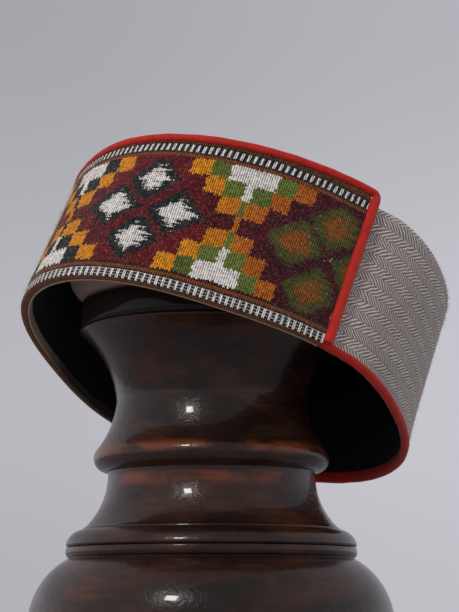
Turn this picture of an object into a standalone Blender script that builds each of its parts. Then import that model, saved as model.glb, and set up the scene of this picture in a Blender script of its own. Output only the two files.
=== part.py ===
"""Patterned wool cap resting on a turned wood stand.

Sizes are in millimetres and become metres through MM. +Z is up, the origin is the centre of the
stand's foot, and the cap's front faces -Y. In the cap's own frame an angle runs counter-clockwise
from the front, seen from above, a height runs up from the plane of the rim, and a depth runs
inwards from the outer face of the front band.
"""
import math

import bmesh
import bpy
from mathutils import Euler, Vector

MM = 0.001
CLEARANCE = 0.3

# Turned stand: radii, and the height of each stretch from the foot upwards
FOOT_RADIUS = 72.0
FOOT_HEIGHT = 6.0
FOOT_CHAMFER = 2.5
BULB_FOOT_RADIUS = 75.0
BULB_HEIGHT = 56.0
BULB_SWELL = 14.5
RING_RADIUS = 68.8
RING_HALF_HEIGHT = 5.2
RING_EDGE = 1.2
RING_SHOULDER = 8.3
RING_SWELL = 1.6
RIDGE_RADIUS = 61.0
RIDGE_STEP = 1.0
NECK_RADIUS = 49.4
NECK_HEIGHT = 27.2
NECK_HOLLOW = 3.0
TORUS_RADIUS = 55.2
TORUS_HEIGHT = 10.0
TORUS_SWELL = 3.6
WAIST_RADIUS = 45.8
WAIST_RISE = 24.2
WAIST_HOLLOW = 2.1
CUP_RADIUS = 63.6
CUP_HEIGHT = 32.3
CUP_HOLLOW = 3.9
LIP_HEIGHT = 2.2
LIP_GROOVE = 0.8
DRUM_HEIGHT = 12.8
DRUM_CHAMFER = 1.2

# Soft pad between the stand and the crown: height on the stand's axis, and largest radius
PAD_HEIGHT = 42.1
PAD_RADIUS = 70.0
PAD_ROWS = (
    # share of the height, share of the radius
    (0.00, 0.87),
    (0.07, 0.95),
    (0.18, 1.00),
    (0.32, 0.98),
    (0.50, 0.91),
    (0.70, 0.80),
    (0.88, 0.68),
    (1.00, 0.55),
)

# Cap pose on the stand
CAP_RIGHT = 1.8
CAP_BACK = 2.2
CAP_PITCH = math.radians(-22.7)
CAP_ROLL = math.radians(-6.2)

# Cap outline: half sizes of the band's outer face at the rim and at its top edge
RIM_FRONT = 107.0
RIM_BACK = 105.0
RIM_SIDE = 87.3
RIM_FRONT_DIAGONAL_RADIUS = 88.7
RIM_BACK_DIAGONAL_RADIUS = 90.0
TOP_FRONT = 98.0
TOP_BACK = 100.0
TOP_SIDE = 91.0
TOP_FRONT_DIAGONAL_RADIUS = 91.5
TOP_BACK_DIAGONAL_RADIUS = 98.8
SIDE_LEAN = math.radians(3.1)
SIDE_DROP = 1.8

# Cap heights and cloth
BAND_HEIGHT_FRONT = 79.8
BAND_HEIGHT_END = 82.4
BAND_END = math.radians(84.7)
BAND_WALL = 1.6
# The band's rows between its lower and upper edge, as shares of its mean height
BAND_ROWS = (0.431566, 0.863132)
SELVEDGE_FOLD = 1.2
CROWN_HEIGHT = 79.0
SHOULDER_RADIUS = 9.0
TWEED_WALL = 1.5
TWEED_DEPTH_BACK = 0.4
TWEED_BULGE_DEPTH = 1.6
EASE_START = math.radians(3.0)
EASE_LENGTH = math.radians(12.0)
CREASE_HEIGHT = 1.4
CREASE_WIDTH = 7.0
LINING_WALL = 1.0
FACING_HEIGHT = 4.7
PIPING_RADIUS = 1.4
END_PIPING_RADIUS = 2.0
BINDING_HEIGHT = 3.6
BINDING_PROUD = 0.7

# Facets of the round forms
STAND_SIDES = 40
BAND_STEPS = 32
BACK_STEPS = 34
PIPING_SIDES = 8

COLOURS = {
    # finish: red, green, blue, roughness
    "varnished_wood": (0.030, 0.014, 0.010, 0.22),
    "woven_band": (0.110, 0.030, 0.030, 0.75),
    "grey_tweed": (0.300, 0.265, 0.245, 0.90),
    "red_cord": (0.560, 0.050, 0.030, 0.70),
    "black_lining": (0.006, 0.007, 0.008, 0.80),
    "pale_pad": (0.420, 0.270, 0.210, 0.80),
    "beige_facing": (0.480, 0.360, 0.240, 0.80),
}


def clear_scene():
    for item in list(bpy.data.objects):
        bpy.data.objects.remove(item, do_unlink=True)


def finish_material(finish):
    if finish in bpy.data.materials:
        return bpy.data.materials[finish]
    red, green, blue, roughness = COLOURS[finish]
    material = bpy.data.materials.new(finish)
    material.use_nodes = True
    shader = material.node_tree.nodes["Principled BSDF"]
    shader.inputs["Base Color"].default_value = (red, green, blue, 1.0)
    shader.inputs["Roughness"].default_value = roughness
    shader.inputs["Metallic"].default_value = 0.0
    return material


def solid(name, vertices, faces, finish, parent=None):
    """One named object from vertices in millimetres and closed faces."""
    mesh = bpy.data.meshes.new(name)
    mesh.from_pydata([Vector(vertex) * MM for vertex in vertices], [], faces)
    work = bmesh.new()
    work.from_mesh(mesh)
    bmesh.ops.recalc_face_normals(work, faces=work.faces)
    work.to_mesh(mesh)
    work.free()
    mesh.shade_smooth()
    mesh.set_sharp_from_angle(angle=math.radians(40))
    mesh.materials.append(finish_material(finish))
    item = bpy.data.objects.new(name, mesh)
    bpy.context.scene.collection.objects.link(item)
    item.parent = parent
    return item


# Turned profiles

def arc(start, end, swell, steps):
    """Points on a circular arc from start to end, which swells to the right of its chord."""
    start, end = Vector(start), Vector(end)
    chord = end - start
    half = chord.length / 2
    side = Vector((chord.y, -chord.x)).normalized()
    radius = (half * half + swell * swell) / (2 * abs(swell))
    centre = (start + end) / 2 + side * (swell - math.copysign(radius, swell))
    opening = 2 * math.asin(min(1.0, half / radius))
    if abs(swell) > half:
        opening = 2 * math.pi - opening
    turn = math.copysign(opening, swell)
    spoke = start - centre
    points = []
    for step in range(steps + 1):
        angle = turn * step / steps
        points.append(centre + Vector((
            spoke.x * math.cos(angle) - spoke.y * math.sin(angle),
            spoke.x * math.sin(angle) + spoke.y * math.cos(angle))))
    return points


def lathe_faces(rows):
    """Faces of stacked rings between a first and a last point on the axis."""
    faces = []
    last = 1 + rows * STAND_SIDES
    top = last - STAND_SIDES
    for side in range(STAND_SIDES):
        after = (side + 1) % STAND_SIDES
        faces.append((0, 1 + after, 1 + side))
        for row in range(rows - 1):
            low = 1 + row * STAND_SIDES
            high = low + STAND_SIDES
            faces.append((low + side, low + after, high + after, high + side))
        faces.append((last, top + side, top + after))
    return faces


def lathe(name, profile, finish):
    """A solid turned about Z from (radius, height) points, whose two ends close on the axis."""
    vertices = [(0.0, 0.0, profile[0][1])]
    for radius, height in profile:
        for side in range(STAND_SIDES):
            angle = 2 * math.pi * side / STAND_SIDES
            vertices.append((radius * math.cos(angle), radius * math.sin(angle), height))
    vertices.append((0.0, 0.0, profile[-1][1]))
    return solid(name, vertices, lathe_faces(len(profile)), finish)


RING_BOTTOM = FOOT_HEIGHT + BULB_HEIGHT
RING_JOINT = RING_BOTTOM + RING_HALF_HEIGHT
RIDGE_LEVEL = RING_JOINT + RING_SHOULDER
NECK_LEVEL = RIDGE_LEVEL + NECK_HEIGHT
TORUS_TOP = NECK_LEVEL + TORUS_HEIGHT
WAIST_LEVEL = TORUS_TOP + WAIST_RISE
LIP_LEVEL = WAIST_LEVEL + CUP_HEIGHT
DRUM_LEVEL = LIP_LEVEL + LIP_HEIGHT
DRUM_TOP = DRUM_LEVEL + DRUM_HEIGHT
PAD_LEVEL = DRUM_TOP + CLEARANCE


def build_stand_base():
    """Foot, bulb and the lower half of the ring."""
    bulb_top = (RING_RADIUS - RING_EDGE, RING_BOTTOM)
    profile = [(FOOT_RADIUS - FOOT_CHAMFER, 0.0), (FOOT_RADIUS, FOOT_CHAMFER), (FOOT_RADIUS, FOOT_HEIGHT)]
    profile += arc((BULB_FOOT_RADIUS, FOOT_HEIGHT), bulb_top, BULB_SWELL, 10)
    profile += [(RING_RADIUS, RING_JOINT - RING_EDGE), (RING_RADIUS - RING_EDGE / 2, RING_JOINT)]
    return lathe("stand_base", profile, "varnished_wood")


def build_stand_column():
    """Upper half of the ring, neck, torus, waist, flared cup, lip and drum."""
    seat = RING_JOINT + CLEARANCE
    neck_start = (RIDGE_RADIUS - RIDGE_STEP, RIDGE_LEVEL + RIDGE_STEP)
    torus_start = (NECK_RADIUS, NECK_LEVEL)
    torus_end = (TORUS_RADIUS, TORUS_TOP)
    waist = (WAIST_RADIUS, WAIST_LEVEL)
    drum_radius = CUP_RADIUS - LIP_GROOVE / 2
    profile = [(RING_RADIUS - RING_EDGE / 2, seat)]
    profile += arc((RING_RADIUS, seat + RING_EDGE), (RIDGE_RADIUS, RIDGE_LEVEL), RING_SWELL, 4)
    profile += arc(neck_start, torus_start, -NECK_HOLLOW, 6)
    profile += arc(torus_start, torus_end, TORUS_SWELL, 6)[1:]
    profile += arc(torus_end, waist, -WAIST_HOLLOW, 6)[1:]
    profile += arc(waist, (CUP_RADIUS, LIP_LEVEL), -CUP_HOLLOW, 7)[1:]
    profile += [
        (CUP_RADIUS, DRUM_LEVEL - LIP_GROOVE),
        (CUP_RADIUS - LIP_GROOVE, DRUM_LEVEL),
        (drum_radius, DRUM_LEVEL + LIP_GROOVE),
        (drum_radius, DRUM_TOP - DRUM_CHAMFER),
        (drum_radius - DRUM_CHAMFER, DRUM_TOP),
    ]
    return lathe("stand_column", profile, "varnished_wood")


# Cap surfaces

def round_outline(angle, front, back, side, front_diagonal, back_diagonal):
    """Radius of a smooth closed outline through its front, back, side and diagonal half sizes."""
    length = (front + back) / 2
    across = (length + side) / 2
    diagonal = (front_diagonal + back_diagonal) / 2
    forward = (front - back) / 2
    forward_diagonal = (front_diagonal - back_diagonal) / math.sqrt(2)
    return ((across + diagonal) / 2
            + (forward + forward_diagonal) / 2 * math.cos(angle)
            + (length - side) / 2 * math.cos(2 * angle)
            + (forward - forward_diagonal) / 2 * math.cos(3 * angle)
            + (across - diagonal) / 2 * math.cos(4 * angle))


def band_height(angle):
    """Height of the piped top edge, lowest at the front."""
    share = (1 - math.cos(angle)) / (1 - math.cos(BAND_END))
    return BAND_HEIGHT_FRONT + (BAND_HEIGHT_END - BAND_HEIGHT_FRONT) * min(1.0, share)


def outline(angle, height):
    share = height / BAND_HEIGHT_END
    rim = round_outline(
        angle, RIM_FRONT, RIM_BACK, RIM_SIDE, RIM_FRONT_DIAGONAL_RADIUS, RIM_BACK_DIAGONAL_RADIUS)
    top = round_outline(
        angle, TOP_FRONT, TOP_BACK, TOP_SIDE, TOP_FRONT_DIAGONAL_RADIUS, TOP_BACK_DIAGONAL_RADIUS)
    return rim + (top - rim) * share


def cap_point(angle, depth, height, share=1.0):
    """A point of the cap: depth inwards from the band's face, then a share of the way from the axis.

    Upright threads lean back a little at the sides, most at the top, and the rim dips at the sides.
    """
    radius = (outline(angle, height) - depth) * share
    up = height / BAND_HEIGHT_END
    drop = SIDE_DROP * math.sin(angle) ** 2 * (1 - up)
    angle += SIDE_LEAN * math.sin(angle) * up
    return Vector((radius * math.sin(angle), -radius * math.cos(angle), height - drop))


def tweed_depth(angle, height):
    """Depth of the tweed's outer face: under the band, and fuller past its ends, most at the top."""
    from_front = abs(math.remainder(angle, 2 * math.pi))
    share = (from_front - BAND_END - EASE_START) / EASE_LENGTH
    share = min(1.0, max(0.0, share))
    share = share * share * (3 - 2 * share)
    under_band = BAND_WALL + CLEARANCE
    behind = TWEED_DEPTH_BACK - TWEED_BULGE_DEPTH * height / CROWN_HEIGHT
    return under_band + (behind - under_band) * share


def crease_rise(point):
    """Height of the crown's fold, a low ridge from front to back."""
    return CREASE_HEIGHT * math.exp(-(point.x / CREASE_WIDTH) ** 2)


def spread(start, end, steps):
    return [start + (end - start) * step / steps for step in range(steps + 1)]


BAND_ANGLES = spread(-BAND_END, BAND_END, BAND_STEPS)
BACK_ANGLES = spread(BAND_END, 2 * math.pi - BAND_END, BACK_STEPS)
ROUND_ANGLES = BAND_ANGLES + BACK_ANGLES[1:-1]


def sweep(name, angles, section, finish, parent, closed):
    """A solid swept along the angles from section(angle), a closed loop of (depth, height) pairs."""
    vertices = []
    for angle in angles:
        for depth, height in section(angle):
            vertices.append(cap_point(angle, depth, height))
    loop = len(section(angles[0]))
    count = len(angles)
    faces = []
    for step in range(count if closed else count - 1):
        here = step * loop
        there = (step + 1) % count * loop
        for corner in range(loop):
            after = (corner + 1) % loop
            lower, upper = corner, after
            if vertices[lower].z > vertices[upper].z:
                lower, upper = upper, lower
            faces.append((here + lower, here + upper, there + upper))
            faces.append((here + lower, there + upper, there + lower))
    if not closed:
        faces.append(tuple(reversed(range(loop))))
        faces.append(tuple(range((count - 1) * loop, count * loop)))
    return solid(name, vertices, faces, finish, parent)


def shoulder(angle, inset, turn):
    """Depth and height on the rounded shoulder, at an inset from the tweed's outer face."""
    radius = SHOULDER_RADIUS - inset
    height = SHOULDER_LEVEL + radius * math.sin(turn)
    return tweed_depth(angle, height) + SHOULDER_RADIUS - radius * math.cos(turn), height


SHOULDER_TURNS = spread(0.0, math.pi / 2, 3)
SHOULDER_LEVEL = CROWN_HEIGHT - SHOULDER_RADIUS
MIDDLE_LEVEL = SHOULDER_LEVEL / 2


HALF_STEP = BAND_END / BAND_STEPS


def rim_level(angle, band_level, band_end):
    """Height at which a cloth starts: above what lies under it at the band, or above the red binding."""
    from_front = abs(math.remainder(angle, 2 * math.pi))
    return (band_level if from_front < band_end else BINDING_HEIGHT) + CLEARANCE


def build_tweed_wall(parent):
    def section(angle):
        low = rim_level(angle, SELVEDGE_FOLD, BAND_END - HALF_STEP)
        low_face = tweed_depth(angle, low)
        middle_face = tweed_depth(angle, MIDDLE_LEVEL)
        points = [(low_face, low), (middle_face, MIDDLE_LEVEL)]
        points += [shoulder(angle, 0.0, turn) for turn in SHOULDER_TURNS]
        points += [shoulder(angle, TWEED_WALL, turn) for turn in reversed(SHOULDER_TURNS)]
        points += [(middle_face + TWEED_WALL, MIDDLE_LEVEL), (low_face + TWEED_WALL, low)]
        return points

    return sweep("tweed_wall", ROUND_ANGLES, section, "grey_tweed", parent, True)


CROWN_SHARES = (1.0, 0.78, 0.52, 0.26)
LINING_SHARES = (1.0, 0.5)


def disc_rows(level, inset, shares, rise):
    """Rings of a round cloth inside the shoulder, from its edge to near its centre."""
    rows = []
    for share in shares:
        row = []
        for angle in ROUND_ANGLES:
            point = cap_point(angle, tweed_depth(angle, level) + SHOULDER_RADIUS + inset, level, share)
            if rise:
                point.z += crease_rise(point) * (1 - share ** 6)
            row.append(point)
        rows.append(row)
    return rows


def bridge_rows(vertices, faces, rows):
    """Adds rows of points, and joins each row to the row before it. Returns the last row's start."""
    count = len(rows[0])
    start = len(vertices)
    for row in rows:
        vertices.extend(row)
    for number in range(len(rows) - 1):
        here = start + number * count
        there = here + count
        for step in range(count):
            after = (step + 1) % count
            faces.append((here + step, there + step, there + after))
            faces.append((here + step, there + after, here + after))
    return start + (len(rows) - 1) * count


def close_centre(vertices, faces, row_start, count, centre):
    vertices.append(centre)
    middle = len(vertices) - 1
    for step in range(count):
        faces.append((row_start + step, row_start + (step + 1) % count, middle))


def build_tweed_crown(parent):
    count = len(ROUND_ANGLES)
    vertices, faces = [], []
    top = disc_rows(CROWN_HEIGHT, CLEARANCE, CROWN_SHARES, True)
    under = disc_rows(CROWN_HEIGHT - TWEED_WALL, CLEARANCE, CROWN_SHARES, True)
    top_end = bridge_rows(vertices, faces, top)
    close_centre(vertices, faces, top_end, count, Vector((0.0, 0.0, CROWN_HEIGHT + CREASE_HEIGHT)))
    under_start = len(vertices)
    under_end = bridge_rows(vertices, faces, under)
    under_centre = Vector((0.0, 0.0, CROWN_HEIGHT - TWEED_WALL + CREASE_HEIGHT))
    close_centre(vertices, faces, under_end, count, under_centre)
    for step in range(count):
        after = (step + 1) % count
        faces.append((step, under_start + step, under_start + after, after))
    return solid("tweed_crown", vertices, faces, "grey_tweed", parent)


LINING_INSET = TWEED_WALL + CLEARANCE
LINING_UNDERSIDE = CROWN_HEIGHT - LINING_INSET - LINING_WALL


def build_lining(parent):
    """Black cloth up the inside of the wall, round the shoulder and across under the crown."""
    count = len(ROUND_ANGLES)

    def wall_point(angle, inset, level):
        return cap_point(angle, tweed_depth(angle, level) + inset, level)

    def side_rows(inset):
        rows = [[wall_point(angle, inset, rim_level(angle, FACING_HEIGHT, BAND_END + HALF_STEP))
                 for angle in ROUND_ANGLES]]
        rows.append([wall_point(angle, inset, MIDDLE_LEVEL) for angle in ROUND_ANGLES])
        for turn in SHOULDER_TURNS[:-1]:
            rows.append([cap_point(angle, *shoulder(angle, inset, turn)) for angle in ROUND_ANGLES])
        return rows + disc_rows(CROWN_HEIGHT - inset, 0.0, LINING_SHARES, False)

    vertices, faces = [], []
    outer_end = bridge_rows(vertices, faces, side_rows(LINING_INSET))
    close_centre(vertices, faces, outer_end, count, Vector((0.0, 0.0, CROWN_HEIGHT - LINING_INSET)))
    inner_start = len(vertices)
    inner_end = bridge_rows(vertices, faces, side_rows(LINING_INSET + LINING_WALL))
    close_centre(vertices, faces, inner_end, count, Vector((0.0, 0.0, LINING_UNDERSIDE)))
    for step in range(count):
        after = (step + 1) % count
        faces.append((step, after, inner_start + after, inner_start + step))
    return solid("lining", vertices, faces, "black_lining", parent)


def build_front_band(parent):
    """Patterned band, whose brown selvedge is folded under the tweed's edge."""
    fold_depth = BAND_WALL + CLEARANCE + TWEED_WALL
    mean_height = (BAND_HEIGHT_FRONT + BAND_HEIGHT_END) / 2

    def section(angle):
        top = band_height(angle) - 2 * PIPING_RADIUS - CLEARANCE
        levels = [mean_height * share for share in BAND_ROWS] + [top]
        points = [(0.0, 0.0)] + [(0.0, level) for level in levels]
        points += [(BAND_WALL, level) for level in reversed(levels)]
        return points + [(BAND_WALL, SELVEDGE_FOLD), (fold_depth, SELVEDGE_FOLD), (fold_depth, 0.0)]

    return sweep("front_band", BAND_ANGLES, section, "woven_band", parent, False)


def build_facing(parent):
    def section(angle):
        face = tweed_depth(angle, 0.0) + LINING_INSET
        return [(face, 0.0), (face, FACING_HEIGHT), (face + LINING_WALL, FACING_HEIGHT),
                (face + LINING_WALL, 0.0)]

    return sweep("band_facing", BAND_ANGLES, section, "beige_facing", parent, False)


def build_rim_binding(parent):
    """Rounded red bar under the edge of the tweed and the lining, round the back."""
    gap = CLEARANCE / RIM_SIDE
    angles = [BACK_ANGLES[0] + gap] + BACK_ANGLES[1:-1] + [BACK_ANGLES[-1] - gap]
    half_width = (LINING_INSET + LINING_WALL) / 2 + BINDING_PROUD
    half_height = BINDING_HEIGHT / 2

    def section(angle):
        middle = tweed_depth(angle, 0.0) + (LINING_INSET + LINING_WALL) / 2
        points = []
        for corner in range(8):
            turn = math.pi * (corner + 0.5) / 4
            points.append((middle - half_width * math.cos(turn) / math.cos(math.pi / 8),
                           half_height + half_height * math.sin(turn) / math.cos(math.pi / 8)))
        return points

    return sweep("rim_binding", angles, section, "red_cord", parent, False)


def piping_path():
    """Centre line and radii of the red cord: up one end of the band, along its top, down the other."""
    bend = END_PIPING_RADIUS + CLEARANCE
    beyond = bend / RIM_SIDE
    end_angle = BAND_END + beyond
    low = BINDING_HEIGHT + CLEARANCE
    top = band_height(BAND_END) - PIPING_RADIUS
    end = [(end_angle, height, END_PIPING_RADIUS) for height in spread(low, top - bend, 6)]
    for turn in spread(0.0, math.pi / 2, 3)[1:-1]:
        radius = END_PIPING_RADIUS + (PIPING_RADIUS - END_PIPING_RADIUS) * math.sin(turn)
        end.append((end_angle - beyond * (1 - math.cos(turn)), top - bend * (1 - math.sin(turn)), radius))
    route = [(-angle, height, radius) for angle, height, radius in end]
    route += [(angle, band_height(angle) - PIPING_RADIUS, PIPING_RADIUS) for angle in BAND_ANGLES]
    route += reversed(end)
    path = [cap_point(angle, BAND_WALL - radius, height) for angle, height, radius in route]
    return path, [radius for angle, height, radius in route]


def tube(name, path, radii, sides, finish, parent):
    """A round cord along a path, with flat ends."""
    vertices, faces = [], []
    across = None
    for number, point in enumerate(path):
        before = path[max(0, number - 1)]
        after = path[min(len(path) - 1, number + 1)]
        along = (after - before).normalized()
        if across is None:
            across = along.orthogonal()
        across = (across - along * across.dot(along)).normalized()
        other = along.cross(across)
        for side in range(sides):
            turn = 2 * math.pi * (side + 0.5) / sides
            spoke = across * math.cos(turn) + other * math.sin(turn)
            vertices.append(point + spoke * radii[number])
    for number in range(len(path) - 1):
        here = number * sides
        there = here + sides
        for side in range(sides):
            after = (side + 1) % sides
            faces.append((here + side, here + after, there + after, there + side))
    faces.append(tuple(reversed(range(sides))))
    faces.append(tuple(range((len(path) - 1) * sides, len(path) * sides)))
    return solid(name, vertices, faces, finish, parent)


def build_piping(parent):
    path, radii = piping_path()
    return tube("band_piping", path, radii, PIPING_SIDES, "red_cord", parent)


def cap_turn():
    return Euler((CAP_PITCH, CAP_ROLL, 0.0), "XYZ")


def cap_pose():
    """Empty that tips the cap back and to its side, with its lining resting on the pad."""
    pose = bpy.data.objects.new("cap_pose", None)
    bpy.context.scene.collection.objects.link(pose)
    pose.rotation_euler = cap_turn()
    axis = cap_turn().to_matrix() @ Vector((0.0, 0.0, 1.0))
    reach = LINING_UNDERSIDE - CLEARANCE + axis.x * CAP_RIGHT + axis.y * CAP_BACK
    height = PAD_LEVEL + PAD_HEIGHT - reach / axis.z
    pose.location = Vector((CAP_RIGHT, CAP_BACK, height)) * MM
    return pose


def build_stand_pad():
    """Soft pad on the drum, whose rings turn from level to the tilt of the crown."""
    vertices = [Vector((0.0, 0.0, PAD_LEVEL))]
    tilt = cap_turn().to_quaternion()
    level = tilt.copy()
    level.identity()
    for height_share, radius_share in PAD_ROWS:
        centre = Vector((0.0, 0.0, PAD_LEVEL + PAD_HEIGHT * height_share))
        turn = level.slerp(tilt, height_share)
        for side in range(STAND_SIDES):
            angle = 2 * math.pi * side / STAND_SIDES
            spoke = Vector((math.cos(angle), math.sin(angle), 0.0)) * PAD_RADIUS * radius_share
            vertices.append(centre + turn @ spoke)
    vertices.append(Vector((0.0, 0.0, PAD_LEVEL + PAD_HEIGHT)))
    return solid("stand_pad", vertices, lathe_faces(len(PAD_ROWS)), "pale_pad")


def main():
    clear_scene()
    build_stand_base()
    build_stand_column()
    build_stand_pad()
    pose = cap_pose()
    for build in (build_tweed_wall, build_tweed_crown, build_lining, build_front_band,
                  build_facing, build_rim_binding, build_piping):
        build(pose)


main()
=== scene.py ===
"""Looks of a patterned wool cap that rests on a turned wood stand.

All lengths are in metres unless a name says otherwise. In the cap's own frame an angle runs
counter-clockwise from the front, seen from above, a height runs up from the plane of the rim, and
a depth runs inwards from the outer face of the front band. Every cloth carries an attribute named
cloth: the length along the cloth from the front and the height up it, in millimetres, and its layer.
"""
import math
import random

import bmesh
import bpy
from bpy.props import FloatProperty, FloatVectorProperty, IntProperty, PointerProperty
from mathutils import Euler, Matrix, Quaternion, Vector, noise


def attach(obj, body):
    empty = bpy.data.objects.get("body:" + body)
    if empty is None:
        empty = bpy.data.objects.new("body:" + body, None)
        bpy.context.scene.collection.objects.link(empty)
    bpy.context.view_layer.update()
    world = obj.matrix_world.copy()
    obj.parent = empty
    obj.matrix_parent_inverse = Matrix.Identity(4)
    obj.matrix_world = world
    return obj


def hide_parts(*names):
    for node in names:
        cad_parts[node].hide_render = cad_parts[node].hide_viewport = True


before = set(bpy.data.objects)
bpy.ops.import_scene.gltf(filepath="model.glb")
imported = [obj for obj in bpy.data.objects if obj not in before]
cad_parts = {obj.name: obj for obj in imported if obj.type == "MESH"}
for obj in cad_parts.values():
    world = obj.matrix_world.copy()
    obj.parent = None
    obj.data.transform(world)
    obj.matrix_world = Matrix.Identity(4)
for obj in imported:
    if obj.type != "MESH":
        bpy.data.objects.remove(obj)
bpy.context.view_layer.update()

bl_info = {
    "name": "Patterned cap on a turned stand",
    "version": (1, 0, 0),
    "blender": (4, 5, 0),
    "location": "3D View > Sidebar > Cap",
    "description": "Dresses a patterned wool cap and its turned wood stand",
    "category": "Object",
}

MM = 0.001
TURN = 2 * math.pi
QUARTER = math.pi / 2


def srgb(red, green, blue):
    """Linear colour of a screen colour whose channels run from 0 to 255."""
    shares = (red / 255, green / 255, blue / 255)
    return tuple(c / 12.92 if c <= 0.04045 else ((c + 0.055) / 1.055) ** 2.4 for c in shares)


def dimmed(tint, share):
    """A share of a colour's light."""
    return tuple(channel * share for channel in tint)


def plain(name, description, default):
    return FloatProperty(name=name, description=description, default=default)


def length(name, description, default):
    return FloatProperty(name=name, description=description, default=default, unit="LENGTH", precision=4)


def angle(name, description, degrees):
    return FloatProperty(
        name=name, description=description, default=math.radians(degrees), subtype="ANGLE")


def colour(name, description, red, green, blue):
    return FloatVectorProperty(
        name=name, description=description, default=srgb(red, green, blue), subtype="COLOR",
        min=0.0, max=1.0)


class CapSizes(bpy.types.PropertyGroup):
    """Driving sizes of the cap."""
    rim_front: length("Rim front", "Half length of the rim, to the front", 0.107)
    rim_back: length("Rim back", "Half length of the rim, to the back", 0.105)
    rim_side: length("Rim side", "Half width of the rim", 0.0873)
    rim_front_diagonal: length("Rim front diagonal", "Rim half size at the front diagonals", 0.0887)
    rim_back_diagonal: length("Rim back diagonal", "Rim half size at the back diagonals", 0.090)
    top_front: length("Top front", "Half length of the band's top, to the front", 0.098)
    top_back: length("Top back", "Half length of the cap's top, to the back", 0.100)
    top_side: length("Top side", "Half width of the cap's top", 0.091)
    top_front_diagonal: length("Top front diagonal", "Top half size at the front diagonals", 0.0915)
    top_back_diagonal: length("Top back diagonal", "Top half size at the back diagonals", 0.0988)
    side_lean: angle("Side lean", "How far upright threads lean back at the sides", 3.1)
    side_drop: length("Side drop", "How far the rim dips at the sides", 0.0018)
    band_height_front: length("Band height, front", "Height of the band at the front", 0.0798)
    band_height_end: length("Band height, end", "Height of the band at its ends", 0.0824)
    band_end: angle("Band end", "Angle of the band's right end from the front", 84.7)
    band_left: angle("Band left end", "Angle of the band's left end from the front", 87.7)
    band_wall: length("Band wall", "Thickness of the woven band", 0.0016)
    crown_height: length("Crown height", "Height of the tweed crown", 0.079)
    shoulder_radius: length("Shoulder", "Radius of the tweed's rounded shoulder", 0.009)
    tweed_wall: length("Tweed wall", "Thickness of the tweed", 0.0015)
    lining_wall: length("Lining wall", "Thickness of the lining", 0.001)
    piping: length("Piping", "Radius of the red cord along the band's top", 0.00185)
    piping_rise: length("Piping rise", "How far the cord stands above the band", 0.0006)
    band_tuck: length("Band tuck", "How far the band's edge lies below its full height", 0.0022)
    end_piping: length("End piping", "Radius of the red cord at the band's ends", 0.002)
    binding_height: length("Binding", "Height of the red rim binding, outside", 0.0036)


class CapColours(bpy.types.PropertyGroup):
    """Yarn and cloth colours of the cap."""
    wine: colour("Wine", "Ground of the woven field", 106, 16, 24)
    deep_wine: colour("Deep wine", "Darker streaks of the ground", 60, 10, 22)
    mustard: colour("Mustard", "Yellow blocks", 216, 138, 14)
    orange: colour("Orange", "Yellow blocks towards the band's ends", 176, 92, 20)
    leaf: colour("Leaf green", "Green blocks", 102, 118, 48)
    white: colour("Undyed white", "White blocks and rosettes", 228, 222, 214)
    ink: colour("Ink", "Black-green blocks and outlines", 22, 34, 36)
    rust: colour("Rust", "Thin lines beside the borders", 176, 66, 20)
    umber: colour("Umber", "Brown lines beside the borders", 96, 62, 34)
    selvedge: colour("Selvedge", "Underside of the band's lower edge", 136, 78, 42)
    red: colour("Coral red", "Piping and rim binding", 199, 38, 23)
    tweed: colour("Tweed", "Light ribs of the wool tweed", 212, 201, 190)
    tweed_shade: colour("Tweed shade", "Dark yarn between the ribs", 112, 101, 93)
    lining: colour("Lining", "Cotton inside the cap", 18, 19, 21)
    facing: colour("Facing", "Tape inside the band's lower edge", 176, 152, 126)


class StandFinish(bpy.types.PropertyGroup):
    """Finish of the wood and of the pad."""
    dark_wood: colour("Dark wood", "Stain in the pores and figure", 28, 17, 13)
    brown_wood: colour("Brown wood", "Lighter wood between them", 66, 40, 28)
    red_wood: colour("Red wood", "Worn red-brown patches", 118, 58, 26)
    pad: colour("Pad", "Cotton of the pad", 152, 126, 108)
    sides: IntProperty(name="Sides", description="Facets of the turned forms", default=192, min=24)


class StudioSetup(bpy.types.PropertyGroup):
    """Camera and light."""
    camera_turn: angle("Camera turn", "Camera's direction about the stand", 52.0)
    camera_pitch: FloatProperty(
        name="Camera pitch", description="How far the camera looks up", default=0.173, subtype="ANGLE")
    camera_distance: length("Camera distance", "From the stand's axis", 0.8046)
    camera_side: length("Camera side", "Shift to the right of the axis", 0.008525)
    camera_height: length("Camera height", "Above the floor", 0.043)
    focal_pixels: plain("Focal length", "In pixels of the image", 1681.56)
    backdrop: colour("Backdrop", "Pale lilac grey round the object", 186, 185, 192)
    left_light: plain("Left light", "Backdrop's strength at the left", 1.85)
    top_light: plain("Top light", "Backdrop's strength overhead", 1.05)
    right_light: plain("Right light", "Backdrop's strength at the right", 1.35)
    floor: colour("Floor", "Plain pale floor", 178, 177, 182)


# Shader sockets and materials

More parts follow.
